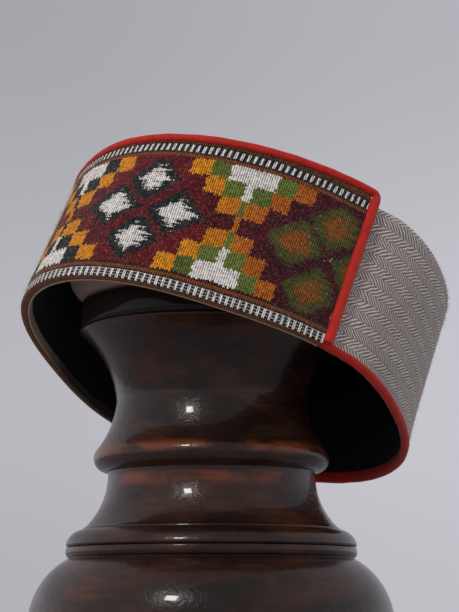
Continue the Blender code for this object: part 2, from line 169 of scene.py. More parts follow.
class Socket:
    """A node's output that takes part in Python expressions, each of which adds a Math node."""

    def __init__(self, nodes, output):
        self.nodes = nodes
        self.output = output

    def __add__(self, other):
        return self.nodes.maths("ADD", self, other)

    __radd__ = __add__

    def __sub__(self, other):
        return self.nodes.maths("SUBTRACT", self, other)

    def __rsub__(self, other):
        return self.nodes.maths("SUBTRACT", other, self)

    def __mul__(self, other):
        return self.nodes.maths("MULTIPLY", self, other)

    __rmul__ = __mul__

    def __truediv__(self, other):
        return self.nodes.maths("DIVIDE", self, other)

    def __rtruediv__(self, other):
        return self.nodes.maths("DIVIDE", other, self)

    def __lt__(self, other):
        return self.nodes.maths("LESS_THAN", self, other)

    def __gt__(self, other):
        return self.nodes.maths("GREATER_THAN", self, other)

    def __abs__(self):
        return self.nodes.maths("ABSOLUTE", self)

    def __pow__(self, other):
        return self * self if other == 2 else self.nodes.maths("POWER", self, other)

    def floor(self):
        return self.nodes.maths("FLOOR", self)

    def fraction(self):
        return self.nodes.maths("FRACT", self)

    def sine(self):
        return self.nodes.maths("SINE", self)

    def most(self, other):
        return self.nodes.maths("MAXIMUM", self, other)

    def least(self, other):
        return self.nodes.maths("MINIMUM", self, other)

    def between(self, low, high):
        """1 where the value lies between two others, else 0."""
        return (self > low) * (self < high)

    def rise(self, low, high, before=0.0, after=1.0):
        """One value below low, another above high, smooth between them."""
        return self.nodes.add("ShaderNodeMapRange", {"interpolation_type": "SMOOTHSTEP"},
                              {0: self, 1: low, 2: high, 3: before, 4: after})


class Nodes:
    """A tree of nodes. Its add method makes every node."""

    def __init__(self, tree):
        self.tree = tree

    def put(self, socket, value):
        if isinstance(value, Socket):
            self.tree.links.new(value.output, socket)
        elif hasattr(value, "__len__") and socket.type == "RGBA":
            socket.default_value = (*value[:3], 1.0)
        else:
            socket.default_value = value

    def add(self, kind, settings=None, values=None, output=0):
        node = self.tree.nodes.new(kind)
        for setting, value in (settings or {}).items():
            setattr(node, setting, value)
        for socket, value in (values or {}).items():
            self.put(node.inputs[socket], value)
        return Socket(self, node.outputs[output])

    def maths(self, operation, *terms):
        return self.add("ShaderNodeMath", {"operation": operation}, dict(enumerate(terms)))

    def mix(self, share, low, high, blend="MIX"):
        """Colour between two others."""
        settings = {"data_type": "RGBA", "blend_type": blend}
        return self.add("ShaderNodeMix", settings, {0: share, 6: low, 7: high}, 2)

    def coats(self, base, *coats):
        """A colour with others laid over it in turn, each as far as its mask says."""
        for mask, tint in coats:
            base = self.mix(mask, base, tint)
        return base

    def vector(self, x, y, z=0.0):
        return self.add("ShaderNodeCombineXYZ", None, {0: x, 1: y, 2: z})

    def part(self, vector, axis):
        return self.add("ShaderNodeSeparateXYZ", None, {0: vector}, axis)

    def shade(self, base, tone):
        """A colour made lighter or darker by a tone."""
        return self.mix(1.0, base, self.vector(tone, tone, tone), "MULTIPLY")

    def place(self):
        return self.add("ShaderNodeTexCoord", None, None, 3)

    def clouds(self, place, scale, detail=2.0, roughness=0.5):
        """Smooth noise around 0.5."""
        return self.add("ShaderNodeTexNoise", None,
                        {"Vector": place, "Scale": scale, "Detail": detail, "Roughness": roughness})

    def sway(self, place, scale, detail=2.0, roughness=0.5):
        """Smooth noise around 0."""
        return self.clouds(place, scale, detail, roughness) - 0.5

    def chance(self, place):
        """An even random value for each whole place."""
        return self.add("ShaderNodeTexWhiteNoise", {"noise_dimensions": "3D"}, {0: place})


class Paint(Nodes):
    """One material."""

    def __init__(self, name, **shader_values):
        self.material = bpy.data.materials.new(name)
        self.material.use_nodes = True
        super().__init__(self.material.node_tree)
        self.shader = self.tree.nodes["Principled BSDF"]
        for socket, value in shader_values.items():
            self.put(self.shader.inputs[socket.replace("_", " ")], value)

    def cloth(self):
        """Length and height on the cloth, in millimetres, and its layer."""
        place = self.add("ShaderNodeAttribute", {"attribute_name": "cloth"}, None, 1)
        return [self.part(place, axis) for axis in range(3)]

    def finish(self, base, roughness, relief=None, relief_height=0.0002, strength=1.0):
        self.put(self.shader.inputs["Base Color"], base)
        self.put(self.shader.inputs["Roughness"], roughness)
        if relief is not None:
            bump = self.add("ShaderNodeBump", None,
                            {"Strength": strength, "Distance": relief_height, "Height": relief})
            self.put(self.shader.inputs["Normal"], bump)
        return self.material


# Woven band. Its chart is in millimetres: heights from the lower edge, and lengths along the cloth
# from the front. Hourglasses stand a period apart, with a diamond of four rosettes between each two,
# and every second hourglass and diamond has the other yarns.

CHART_PERIOD = 86.0
CHART_LOW = 9.1
CHART_HIGH = 69.0
CHART_ROWS = 7
CHART_SLANT = 0.02
CHART_SLANT_GROWTH = 0.0005
CHART_MIDDLE = (CHART_LOW + CHART_HIGH) / 2
HOURGLASS = (
    # half widths of the stem, of the inner colour and of the outer colour, from the middle row out
    (0.0, 0.0, 1.2),
    (0.0, 1.4, 11.0),
    (1.9, 10.8, 19.6),
    (10.8, 19.4, 28.4),
)
RIB = 1.05
WEFT = 0.8
SPECK = 0.62
ROSETTES = (
    # side and rise, in rosette steps from the middle of the diamond
    (-1, 0.08), (1, -0.06), (0, 1.0), (0, -1.0),
)
ROSETTE_ACROSS = 15.2
ROSETTE_UP = 16.4
ROSETTE_WIDE = 7.0
ROSETTE_TALL = 6.9
ROSETTE_LEAN = 0.06
OUTLINE_WIDE = 12.8
OUTLINE_TALL = 12.2
ODD_RIGHT_SHIFT = 2.0
ODD_BOTTOM_DROP = 2.6
LOWER_BARS = (0.4, 5.0)
LOWER_BAR_STEP = 2.96
UPPER_BARS = (71.7, 75.5)
UPPER_BAR_STEP = 2.95
UPPER_BAR_LEAN = 0.14
LOWER_RUST = (6.9, 7.9)
UPPER_RUST = (69.6, 70.6)
UPPER_DASHES = (76.9, 77.6)
ZIGZAG = 2.1
FOLD_LINE = 1.15
# Colour of the painted sheen on the rib crests
PAINTED_SHEEN_TINT = (0.62, 0.5, 0.45)


def odd(number):
    """1 where a whole number is odd, else 0."""
    return abs((number * 0.5).fraction() * 2)


def pointed(across, up, wide, tall, roundness):
    """1 on the edge of a diamond of these half sizes, less inside. At roundness 1 it is nearly an oval."""
    diamond = abs(across) / wide + abs(up) / tall
    oval = ((across / wide) ** 2 + (up / tall) ** 2) ** 0.5
    share = roundness * 0.6 + 0.15
    return diamond * (1 - share) + oval * share


class Weave:
    """Places, threads and uneven yarn that the band's motifs and borders share."""

    def __init__(self, paint):
        along, up, layer = paint.cloth()
        self.paint = paint
        self.along = along
        self.up = up
        self.layer = layer

        # Each rib is one upright thread, each pick one cross thread
        rib = (along / RIB).floor()
        pick = (up / WEFT).floor()
        self.rib_chance = paint.chance(paint.vector(rib, 3.5, 0.5))
        self.pick_chance = paint.chance(paint.vector(7.5, pick, 0.5))
        self.tuft = paint.chance(paint.vector(rib, pick, 0.5))
        self.even = (rib * 0.5).fraction() * 2
        drift = paint.sway(paint.vector(along, up, layer), 0.09)

        # Threads cross a colour's edge by uneven amounts, which gives it teeth
        tooth_up = (self.even - 0.5) * 0.7 + (self.rib_chance - 0.5) * 0.9 + drift * 2.0
        tooth_along = (self.pick_chance - 0.5) * 1.3 + (self.tuft - 0.5) * 0.5 + drift * 1.6
        slant = along * CHART_SLANT_GROWTH + CHART_SLANT
        self.chart_up = up + tooth_up
        self.chart_along = along - (up - CHART_MIDDLE) * slant + tooth_along
        self.border_up = up + drift * 0.9
        self.zigzag = abs((along / ZIGZAG).fraction() - 0.5) * 1.8 + (self.tuft - 0.5) * 0.8

        # The diamond that a place lies in, and the place from its middle
        self.periods = self.chart_along / CHART_PERIOD
        diamond = self.periods.floor()
        self.diamond_along = self.chart_along - (diamond + 0.5) * CHART_PERIOD
        self.diamond_up = up - CHART_MIDDLE
        self.odd_diamond = odd(diamond)


def hourglass(weave):
    """Masks of the stem, the inner and the outer colour, and 1 at every second hourglass."""
    number = (weave.periods + 0.5).floor()
    across = abs(weave.chart_along - number * CHART_PERIOD)
    row_height = (CHART_HIGH - CHART_LOW) / CHART_ROWS
    row = abs(((weave.chart_up - CHART_LOW) / row_height).floor() - (CHART_ROWS - 1) / 2)
    halves = [0.0, 0.0, 0.0]
    for step, row_halves in enumerate(HOURGLASS):
        here = row.between(step - 0.5, step + 0.5)
        halves = [here * row_half + half for row_half, half in zip(row_halves, halves)]
    stem, inner, outer = [across < half for half in halves]
    return stem, inner, outer, odd(number)


def rosettes(weave):
    """Masks of the rosettes in a diamond and of their outlines, first crisp and then soft."""
    paint, along, up, odd_diamond = weave.paint, weave.along, weave.up, weave.odd_diamond
    fray = paint.sway(paint.vector(along * 0.22, up * 1.25), 1.0, 3.0, 0.7)
    spikes = (fray * 1.3 + (weave.pick_chance - 0.5) * 0.6 + (weave.rib_chance - 0.5) * 0.25
              + (weave.tuft - 0.5) * 0.4)
    blur = paint.sway(paint.vector(along, up, 3.0), 0.2, 3.0, 0.7) * 0.7
    inside, around_it = None, None
    for side, rise in ROSETTES:
        off_up = weave.diamond_up - rise * ROSETTE_UP
        off_along = weave.diamond_along - side * ROSETTE_ACROSS - off_up * ROSETTE_LEAN
        if side > 0:
            off_along = off_along - odd_diamond * ODD_RIGHT_SHIFT
        if rise < -0.5:
            off_up = off_up + odd_diamond * ODD_BOTTOM_DROP
        star = pointed(off_along, off_up, ROSETTE_WIDE, ROSETTE_TALL, odd_diamond)
        ring = pointed(off_along, off_up, OUTLINE_WIDE, OUTLINE_TALL, odd_diamond * 0.4)
        inside = star if inside is None else inside.least(star)
        around_it = ring if around_it is None else around_it.least(ring)
    hazy = 1 - (inside + spikes).rise(0.65, 1.2)
    in_rosette = (inside + spikes < 1.0) * (1 - odd_diamond) + hazy * odd_diamond
    in_outline = around_it + spikes * 0.4 + blur * 0.4 < 1.0
    wider = around_it * (odd_diamond * 0.1 + 1)
    soft_outline = 1 - (wider + spikes * 0.4).rise(0.8, 1.25)
    return in_rosette, in_outline, soft_outline


def field_colour(weave, colours):
    """Ground, diamonds, hourglasses and stray pale fibres between the borders, with painted shade on the
    ground towards the band's ends.
    """
    paint, along, up, odd_diamond = weave.paint, weave.along, weave.up, weave.odd_diamond
    in_stem, in_inner, in_outer, odd_hourglass = hourglass(weave)
    in_rosette, in_outline, soft_outline = rosettes(weave)
    dim = 1 - odd_diamond * 0.22
    dyed = paint.mix(abs(along).rise(62.0, 100.0), colours.mustard, colours.orange)
    hue_drift = paint.clouds(paint.vector(along, up, 9.0), 0.05)
    leaf = paint.mix(hue_drift.rise(0.3, 0.7), colours.leaf, dimmed(colours.leaf, 0.62))
    inner_colour = paint.mix(odd_hourglass, colours.ink, leaf)
    rosette_colour = paint.mix(odd_diamond, colours.white, dimmed(colours.orange, 0.68))
    outline_colour = paint.mix(odd_diamond, colours.ink, dimmed(colours.leaf, 0.42))
    streak = paint.clouds(paint.vector(along * 0.6, up * 1.2, 4.0), 0.12, 3.0).rise(0.38, 0.62)
    # The ground darkens in random streaks of the yarn, and with painted shade towards both ends of the band
    streaks_and_painted_shade = streak * 0.5 + abs(along).rise(60.0, 96.0) * 0.75

    # Stray fibres lie most in the middle of the darker diamonds
    near_middle = 1 - (abs(weave.diamond_along) + abs(weave.diamond_up) * 1.4).rise(3.0, 8.0)
    few = paint.clouds(paint.vector(along, up, 2.0), 0.07, 1.0).rise(0.6, 0.75)
    speck_chance = paint.chance(paint.vector((along / SPECK).floor(), (up / SPECK).floor(), 2.5))
    speck = speck_chance < near_middle * odd_diamond * 0.11 + few * 0.02
    return paint.coats(
        paint.mix(streaks_and_painted_shade, colours.wine, colours.deep_wine),
        (soft_outline * 0.6, outline_colour),
        (in_outline * dim, outline_colour),
        (in_rosette * dim, rosette_colour),
        (in_outer, dyed),
        (in_inner, inner_colour),
        (in_stem, colours.white),
        (speck * 0.36, colours.white))


def border_colours(weave, colours):
    """The lower and the upper border: white bars on black between brown, rust and dark lines."""
    paint, along, up, zigzag = weave.paint, weave.along, weave.border_up, weave.zigzag
    bars = (along / LOWER_BAR_STEP).fraction().between(0.28, 0.69)
    links = ((up / 1.5).fraction() < 0.3) * 0.5
    slanted = ((along - weave.up * UPPER_BAR_LEAN) / UPPER_BAR_STEP).fraction()
    dashes = (along / 1.3).fraction() < 0.45
    dark = dimmed(colours.umber, 0.25)
    pale = dimmed(colours.white, 0.95)
    rust = paint.mix(weave.tuft.rise(0.35, 0.65), colours.rust, colours.umber)
    lower = paint.coats(
        colours.umber,
        (up > LOWER_BARS[0], colours.ink),
        (bars.most(links) * up.between(*LOWER_BARS), pale),
        (up > 5.1, dark),
        (up > 5.8, colours.umber),
        ((up + zigzag).between(*LOWER_RUST), rust),
        (up > 7.7 - zigzag * 0.3, dark))
    upper = paint.coats(
        colours.umber,
        ((up + zigzag).between(*UPPER_RUST), rust),
        (up + zigzag * 0.5 > 71.0, dark),
        (up > 71.4, colours.ink),
        (slanted.between(0.22, 0.66) * up.between(*UPPER_BARS), pale),
        (up > 75.8, dark),
        (up > 76.4, colours.umber),
        (dashes * up.between(*UPPER_DASHES), dark))
    return lower, upper


def band_material(colours):
    """Hand-woven wool: charted blocks, rosettes, borders, ribs and uneven yarn, with painted shade between
    the threads and a painted sheen on the rib crests.
    """
    paint = Paint("woven_band", Specular_IOR_Level=0.12, Sheen_Weight=0.12, Sheen_Roughness=0.5)
    weave = Weave(paint)
    along, up, tuft = weave.along, weave.up, weave.tuft
    lower, upper = border_colours(weave, colours)
    fold_line = ((up + weave.zigzag * 0.25) / FOLD_LINE).fraction() < 0.34
    base = paint.coats(
        lower,
        (weave.chart_up > CHART_LOW, field_colour(weave, colours)),
        (weave.border_up > CHART_HIGH, upper),
        (weave.layer.between(0.5, 1.5), paint.mix(fold_line, colours.selvedge, dimmed(colours.umber, 0.25))))

    # Painted shade between the ribs and between the picks, random tone for each tuft, and a painted sheen on
    # the rib crests
    rib_wave = ((along / RIB) * TURN).sine()
    pick_wave = (((up / WEFT) + weave.even * 0.5) * TURN).sine()
    tone = 0.9 + rib_wave * 0.5 + pick_wave * 0.18 + (tuft - 0.5) * 0.6
    painted_sheen = rib_wave.rise(0.2, 0.95) * tuft.rise(0.45, 0.95) * 0.07
    worn = 0.9 + paint.clouds(paint.vector(along, up, 5.0), 0.06, 3.0) * 0.25
    base = paint.shade(paint.mix(painted_sheen, base, PAINTED_SHEEN_TINT), tone * worn)
    relief = rib_wave * 0.5 + pick_wave * 0.25 + tuft * 0.6
    return paint.finish(base, 0.82, relief, 0.00016, 0.9)


# Tweed, in millimetres of the cloth

STRIPE = 9.7
THICK_STRIPE = 5.1
FIRST_STRIPE = 5.5
DASH_STEP = 2.6
DASH_SLANT = 1.28
FINE_STEP = 1.9
FINE_SLANT = 1.1
TUFT = 0.55


def tweed_material(colours):
    """Broken herringbone: stripes of thick slanting dashes between stripes of fine ribs."""
    paint = Paint("wool_tweed", Specular_IOR_Level=0.15, Sheen_Weight=0.3, Sheen_Roughness=0.5)
    along, up, layer = paint.cloth()
    warp = paint.sway(paint.vector(along, up, layer), 0.06) * 3.0
    along = along + warp
    up = up + warp * 0.5
    share = (up - FIRST_STRIPE) / STRIPE
    stripe = share.fraction() * STRIPE
    jog = paint.chance(paint.vector(share.floor(), 1.5, 0.5)) * 3.0
    wander = paint.sway(paint.vector(along, up, 7.0), 0.24) * 3.2
    thick = stripe < THICK_STRIPE
    dash = ((along - stripe * DASH_SLANT + jog + wander) / DASH_STEP) * TURN
    fine = ((along + stripe * FINE_SLANT + jog + wander * 0.6) / FINE_STEP) * TURN
    dash_wave = dash.sine() * 0.5 + 0.5
    fine_wave = fine.sine() * 0.5 + 0.5
    ribs = dash_wave.rise(0.05, 0.8) * thick + fine_wave.rise(0.1, 0.9) * (1 - thick)
    edge = abs(stripe - THICK_STRIPE).least(stripe.least(STRIPE - stripe)).rise(0.0, 0.7)
    tuft = paint.chance(paint.vector((along / TUFT).floor(), (up / TUFT).floor(), 0.5))
    yarn = paint.clouds(paint.vector(along, up, 3.0), 0.9, 3.0, 0.65)
    worn = paint.clouds(paint.vector(along, up, 8.0), 0.3).rise(0.3, 0.75)
    light = (ribs + worn * thick * 0.3).rise(0.12, 0.72) * (0.75 + edge * 0.25) * (0.72 + yarn * 0.56)
    blotch = paint.clouds(paint.vector(along, up, 6.0), 0.035).rise(0.3, 0.7)
    tone = 0.92 + blotch * 0.12 + (tuft - 0.5) * 0.12
    base = paint.shade(paint.mix(light, colours.tweed_shade, colours.tweed), tone)
    relief = ribs.rise(0.05, 0.9) * edge * 1.2 + yarn * 0.7 + tuft * 0.2
    return paint.finish(base, 0.9, relief, 0.00035, 0.9)


# Plain cloths, tape and wood

THREAD_RELIEF = 0.00012
RUBBED_RED = (0.72, 0.16, 0.08)
TORUS_MM = 111.5
UNDER_TORUS_MM = 98.0
# Heights of the drum, whose varnish is dull and whose wood painted shade darkens
SHADED_DRUM_MM = (170.8, 172.0)


def plain_cloth_material(name, tint, thread_mm, contrast, sheen):
    """Plain weave with uneven threads."""
    paint = Paint(name, Specular_IOR_Level=0.25, Sheen_Weight=sheen)
    along, up, layer = paint.cloth()
    weave = ((along / thread_mm) * TURN).sine() * ((up / thread_mm) * TURN).sine()
    slub = paint.clouds(paint.vector(along * 0.3, up, layer), 0.5, 3.0)
    tone = 1.0 + weave * 0.12 * contrast + (slub - 0.5) * contrast
    return paint.finish(paint.shade(tint, tone), 0.85, weave * 0.5 + slub, THREAD_RELIEF, 0.7)


def facing_material(colours):
    """Beige tape, which is dark where it runs on round the left side."""
    paint = Paint("facing_tape", Specular_IOR_Level=0.25, Sheen_Weight=0.2)
    along, up, layer = paint.cloth()
    thread = ((along / 0.6) * TURN).sine()
    slub = paint.clouds(paint.vector(along * 0.3, up, layer), 0.5, 3.0)
    # Towards its left end the tape turns nearly as dark as the lining
    dark_leftwards = 1 - (along + (slub - 0.5) * 20.0).rise(-100.0, -62.0)
    tone = 0.95 + thread * 0.06 + (slub - 0.5) * 0.3
    base = paint.shade(paint.mix(dark_leftwards * 0.92, colours.facing, colours.lining), tone)
    return paint.finish(base, 0.85, thread * 0.4 + slub, THREAD_RELIEF, 0.7)


def red_material(colours):
    """Folded cotton tape: smooth, with faint slanting threads and rubbed places."""
    paint = Paint("red_trim", Specular_IOR_Level=0.2, Sheen_Weight=0.1)
    along, up, layer = paint.cloth()
    thread = (((along + up * 0.8) / 0.5) * TURN).sine()
    dye = paint.clouds(paint.vector(along, up, layer), 0.12, 3.0)
    rub = paint.clouds(paint.vector(along, up * 2.0, 4.0), 0.5, 3.0).rise(0.5, 0.75)
    base = paint.coats(
        colours.red, (dye.rise(0.3, 0.75) * 0.5, dimmed(colours.red, 0.55)), (rub * 0.12, RUBBED_RED))
    return paint.finish(paint.shade(base, 1.0 + thread * 0.05), 0.62, thread * 0.3 + dye, THREAD_RELIEF, 0.6)


def wood_material(finish):
    """Dark stained hardwood under an uneven glossy varnish, rubbed on the torus, with a painted reddish
    reflection in a band under it. The drum's varnish is dull, and painted shade darkens it.
    """
    paint = Paint("varnished_wood", Specular_IOR_Level=0.2, Coat_Weight=0.28, Coat_Roughness=0.06)
    place = paint.place()
    x, y, z = (paint.part(place, axis) * 1000 for axis in range(3))
    bend = paint.sway(paint.vector(x, y, z), 0.016, 3.0) * 60.0
    board = paint.vector(x * 0.3 + bend * 0.4, y * 0.3, z + bend * 0.5)
    figure = paint.clouds(board, 0.06, 4.0, 0.6)
    grain = paint.clouds(paint.vector(x * 0.12, y * 0.12, z * 1.6 + bend * 0.3), 0.35, 3.0, 0.6)
    patch = paint.clouds(paint.vector(x, y, z * 1.6), 0.021, 3.0, 0.55)
    # A rubbed band on the torus, and a painted reddish reflection in a band under it
    torus = 1 - abs(z - TORUS_MM).rise(0.8, 3.6)
    under_torus = 1 - abs(z - UNDER_TORUS_MM).rise(1.0, 4.0)
    rubbed_and_painted_reflection = torus.most(under_torus) * paint.clouds(paint.vector(x, y, z * 2.0), 0.05, 3.0).rise(0.42, 0.6)
    smear = paint.clouds(paint.vector(x * 0.5, y * 0.5, z), 0.09, 3.0, 0.6)
    ripple = paint.clouds(paint.vector(x, y, z), 0.32)
    pits = paint.clouds(paint.vector(x, y, z), 1.1)
    # The drum's varnish is dull, and painted shade darkens its wood
    drum = z.rise(*SHADED_DRUM_MM)
    base = paint.coats(
        finish.dark_wood,
        (figure.rise(0.36, 0.66), finish.brown_wood),
        (patch.rise(0.52, 0.72) * 0.3, finish.red_wood),
        (grain.rise(0.35, 0.6) * 0.4, finish.dark_wood),
        (rubbed_and_painted_reflection * 0.8, finish.red_wood),
        (drum * 0.8, dimmed(finish.dark_wood, 0.6)))
    relief = ripple * 0.8 + pits * 0.35 + grain * 0.2
    return paint.finish(base, 0.2 + smear * 0.16 + drum * 0.6, relief, 0.0005, 0.5)


def fibre_material(name, tint):
    """Matt yarn whose hairs differ in tone."""
    paint = Paint(name, Specular_IOR_Level=0.2)
    tone = 0.75 + paint.chance(paint.vector(*paint.cloth())) * 0.5
    return paint.finish(paint.shade(tint, tone), 0.9)


# Mesh pieces

CLOTH_UNITS = (1000, 1000, 1)
NO_PLACE = (0.0, 0.0, 0.0)
SHARP_CLOTH = 50.0
SHARP_TAPE = 60.0
SHARP_WOOD = 38.0


def placed(name, data):
    """A new object in the scene."""
    item = bpy.data.objects.new(name, data)
    bpy.context.scene.collection.objects.link(item)
    return item


def piece_of(name, parts, material, sharp=SHARP_CLOTH):
    """A closed mesh that rides on the object, from its points, faces and places on the cloth."""
    points, faces, cloth = parts
    mesh = bpy.data.meshes.new(name)
    mesh.from_pydata(points, [], faces)
    layer = mesh.attributes.new("cloth", "FLOAT_VECTOR", "POINT")
    layer.data.foreach_set("vector", [part * unit for place in cloth
                                      for part, unit in zip(place, CLOTH_UNITS)])
    work = bmesh.new()
    work.from_mesh(mesh)
    bmesh.ops.recalc_face_normals(work, faces=work.faces)
    work.to_mesh(mesh)
    work.free()
    mesh.shade_smooth()
    mesh.set_sharp_from_angle(angle=math.radians(sharp))
    mesh.materials.append(material)
    piece = placed(name, mesh)
    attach(piece, "root")
    return piece


def dress(node, name, parts, material, sharp=SHARP_CLOTH):
    """Shows a new piece in place of a solid."""
    piece = piece_of(name, parts, material, sharp)
    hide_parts(node)
    return piece


def flattened(loops):
    """Points and cloth places of loops that hold both."""
    spots = [spot for loop in loops for spot in loop]
    return [point for point, place in spots], [place for point, place in spots]


def ring_faces(here, there, count):
    """Faces between two closed loops of points, from the numbers that they start at."""
    pairs = [(step, (step + 1) % count) for step in range(count)]
    return [(here + step, here + after, there + after, there + step) for step, after in pairs]


def swept(columns, closed=False):
    """Points, faces and cloth places of a solid from columns, each a closed loop of both."""
    loop = len(columns[0])
    count = len(columns)
    points, cloth = flattened(columns)
    faces = []
    for step in range(count if closed else count - 1):
        faces += ring_faces(step * loop, (step + 1) % count * loop, loop)
    if not closed:
        faces.append(tuple(reversed(range(loop))))
        faces.append(tuple(range((count - 1) * loop, count * loop)))
    return points, faces, cloth


def domed(rings, centre, centre_place, foot=None):
    """Points, faces and cloth places of stacked rings that close at a centre, and at a foot if given."""
    count = len(rings[0])
    points, cloth = flattened(rings)
    last = len(points) - count
    faces = []
    for here in range(0, last, count):
        faces += ring_faces(here, here + count, count)
    points.append(centre)
    cloth.append(centre_place)
    faces += [(last + step, last + (step + 1) % count, last + count) for step in range(count)]
    if foot is not None:
        points.append(foot)
        cloth.append(NO_PLACE)
        faces += [((step + 1) % count, step, last + count + 1) for step in range(count)]
    return points, faces, cloth


def spread(start, end, steps):
    return [start + (end - start) * step / steps for step in range(steps + 1)]


def turns(sides):
    """Angles once round, in equal steps."""
    return [TURN * side / sides for side in range(sides)]


def smooth(share):
    share = min(1.0, max(0.0, share))
    return share * share * (3 - 2 * share)


def on_axis(height):
    return Vector((0.0, 0.0, height))


# Turned stand: the same profile as the solids, with finer steps. A pair is a radius and a height.

CLEARANCE = 0.0003
FOOT = (0.072, 0.006)
FOOT_CHAMFER = 0.0025
FOOT_SWELL = 0.0007
BULB_START = (0.075, 0.006)
BULB_END = (0.0676, 0.062)
BULB_SWELL = 0.0145
RING_RADIUS = 0.0688
RING_JOINT = 0.0672
RING_EDGE = 0.0012
RING_FOOT_SWELL = 0.0006
RING_SWELL = 0.0016
EDGE_SWELL = 0.0002
RIDGE = (0.061, 0.0755)
RIDGE_STEP = 0.001
RIDGE_SWELL = 0.0003
NECK = (0.0494, 0.1027)
NECK_HOLLOW = 0.003
TORUS = (0.0552, 0.1127)
TORUS_SWELL = 0.0036
WAIST = (0.0458, 0.1369)
WAIST_HOLLOW = 0.0021
CUP = (0.0636, 0.1692)
CUP_HOLLOW = 0.0039
LIP_GROOVE = 0.0008
LIP_SWELL = 0.0004
DRUM_LEVEL = 0.1714
DRUM_TOP = 0.1842
DRUM_EDGE = 0.0012
DRUM_SWELL = 0.0003
DRUM_STEPS = 6


def arc(start, end, swell, steps):
    """Points on a circular arc from start to end, which swells to the right of its chord."""
    start, end = Vector(start), Vector(end)
    chord = end - start
    half = chord.length / 2
    side = Vector((chord.y, -chord.x)).normalized()
    radius = (half * half + swell * swell) / (2 * abs(swell))
    centre = (start + end) / 2 + side * (swell - math.copysign(radius, swell))
    turn = math.copysign(2 * math.asin(min(1.0, half / radius)), swell)
    spoke = start - centre
    points = []
    for bend in spread(0.0, turn, steps):
        points.append(centre + Vector((
            spoke.x * math.cos(bend) - spoke.y * math.sin(bend),
            spoke.x * math.sin(bend) + spoke.y * math.cos(bend))))
    return points


def along_arcs(start, stretches):
    """Points after start, along arcs that each have an end, a swell and steps."""
    points = []
    for end, swell, steps in stretches:
        points += arc(start, end, swell, steps)[1:]
        start = end
    return points


def base_profile():
    foot_edge = (FOOT[0] - FOOT_CHAMFER, 0.0)
    ring_edge = (RING_RADIUS, RING_JOINT - RING_EDGE)
    profile = [(0.0, 0.0), foot_edge]
    profile += arc(foot_edge, (FOOT[0], FOOT_CHAMFER), FOOT_SWELL, 5)[1:]
    profile += [(FOOT[0], FOOT[1] - 0.0004), (FOOT[0] + 0.0006, FOOT[1])]
    profile += arc(BULB_START, BULB_END, BULB_SWELL, 48)
    profile += arc((RING_RADIUS - RING_EDGE, BULB_END[1] + 0.0002), ring_edge, RING_FOOT_SWELL, 8)
    profile += arc(ring_edge, (RING_RADIUS - RING_EDGE / 2, RING_JOINT), EDGE_SWELL, 4)
    return profile + [(0.0, RING_JOINT)]


def column_profile():
    seat = (RING_RADIUS - RING_EDGE / 2, RING_JOINT + CLEARANCE)
    drum_radius = CUP[0] - LIP_GROOVE / 2
    drum_foot = (drum_radius, DRUM_LEVEL + LIP_GROOVE)
    drum_edge = (drum_radius, DRUM_TOP - DRUM_EDGE)
    profile = [(0.0, seat[1]), seat]
    profile += along_arcs(seat, (
        ((RING_RADIUS, seat[1] + RING_EDGE), EDGE_SWELL, 4),
        (RIDGE, RING_SWELL, 16),
        ((RIDGE[0] - RIDGE_STEP, RIDGE[1] + RIDGE_STEP), RIDGE_SWELL, 4),
        (NECK, -NECK_HOLLOW, 26),
        (TORUS, TORUS_SWELL, 22),
        (WAIST, -WAIST_HOLLOW, 24),
        (CUP, -CUP_HOLLOW, 30),
        ((CUP[0], DRUM_LEVEL - LIP_GROOVE), LIP_SWELL, 6),
    ))
    profile += [(CUP[0] - LIP_GROOVE, DRUM_LEVEL), drum_foot]
    profile += [Vector(drum_foot).lerp(Vector(drum_edge), step / DRUM_STEPS)
                for step in range(1, DRUM_STEPS + 1)]
    profile += arc(drum_edge, (drum_radius - DRUM_EDGE, DRUM_TOP), DRUM_SWELL, 5)[1:]
    return profile + [(0.0, DRUM_TOP)]


def lathe(profile, sides):
    """A turned solid. The profile starts and ends on the axis."""
    rings = []
    for radius, height in profile[1:-1]:
        rings.append([(Vector((radius * math.cos(bearing), radius * math.sin(bearing), height)),
                       (radius * bearing, height, 0.0)) for bearing in turns(sides)])
    return domed(rings, on_axis(profile[-1][1]), NO_PLACE, on_axis(profile[0][1]))


# Cap surfaces

CAP_PLACE = Vector((0.0018, 0.0022, 0.14311))
CAP_TURN = Euler((math.radians(-22.7), math.radians(-6.2), 0.0), "XYZ")
CAP_POSE = Matrix.Translation(CAP_PLACE) @ CAP_TURN.to_matrix().to_4x4()
GIRTH_STEPS = 360
HALFWAY = 0.040
TWEED_DEPTH_BACK = 0.0004
TWEED_BULGE = 0.0016
EASE_START = math.radians(3.0)
EASE_LENGTH = math.radians(12.0)
BACK = 2.0


def outline_through(bearing, front, back, side, front_diagonal, back_diagonal):
    """Radius of a smooth closed outline through its front, back, side and diagonal half sizes."""
    long = (front + back) / 2
    across = (long + side) / 2
    diagonal = (front_diagonal + back_diagonal) / 2
    forward = (front - back) / 2
    forward_diagonal = (front_diagonal - back_diagonal) / math.sqrt(2)
    return ((across + diagonal) / 2
            + (forward + forward_diagonal) / 2 * math.cos(bearing)
            + (long - side) / 2 * math.cos(2 * bearing)
            + (forward - forward_diagonal) / 2 * math.cos(3 * bearing)
            + (across - diagonal) / 2 * math.cos(4 * bearing))


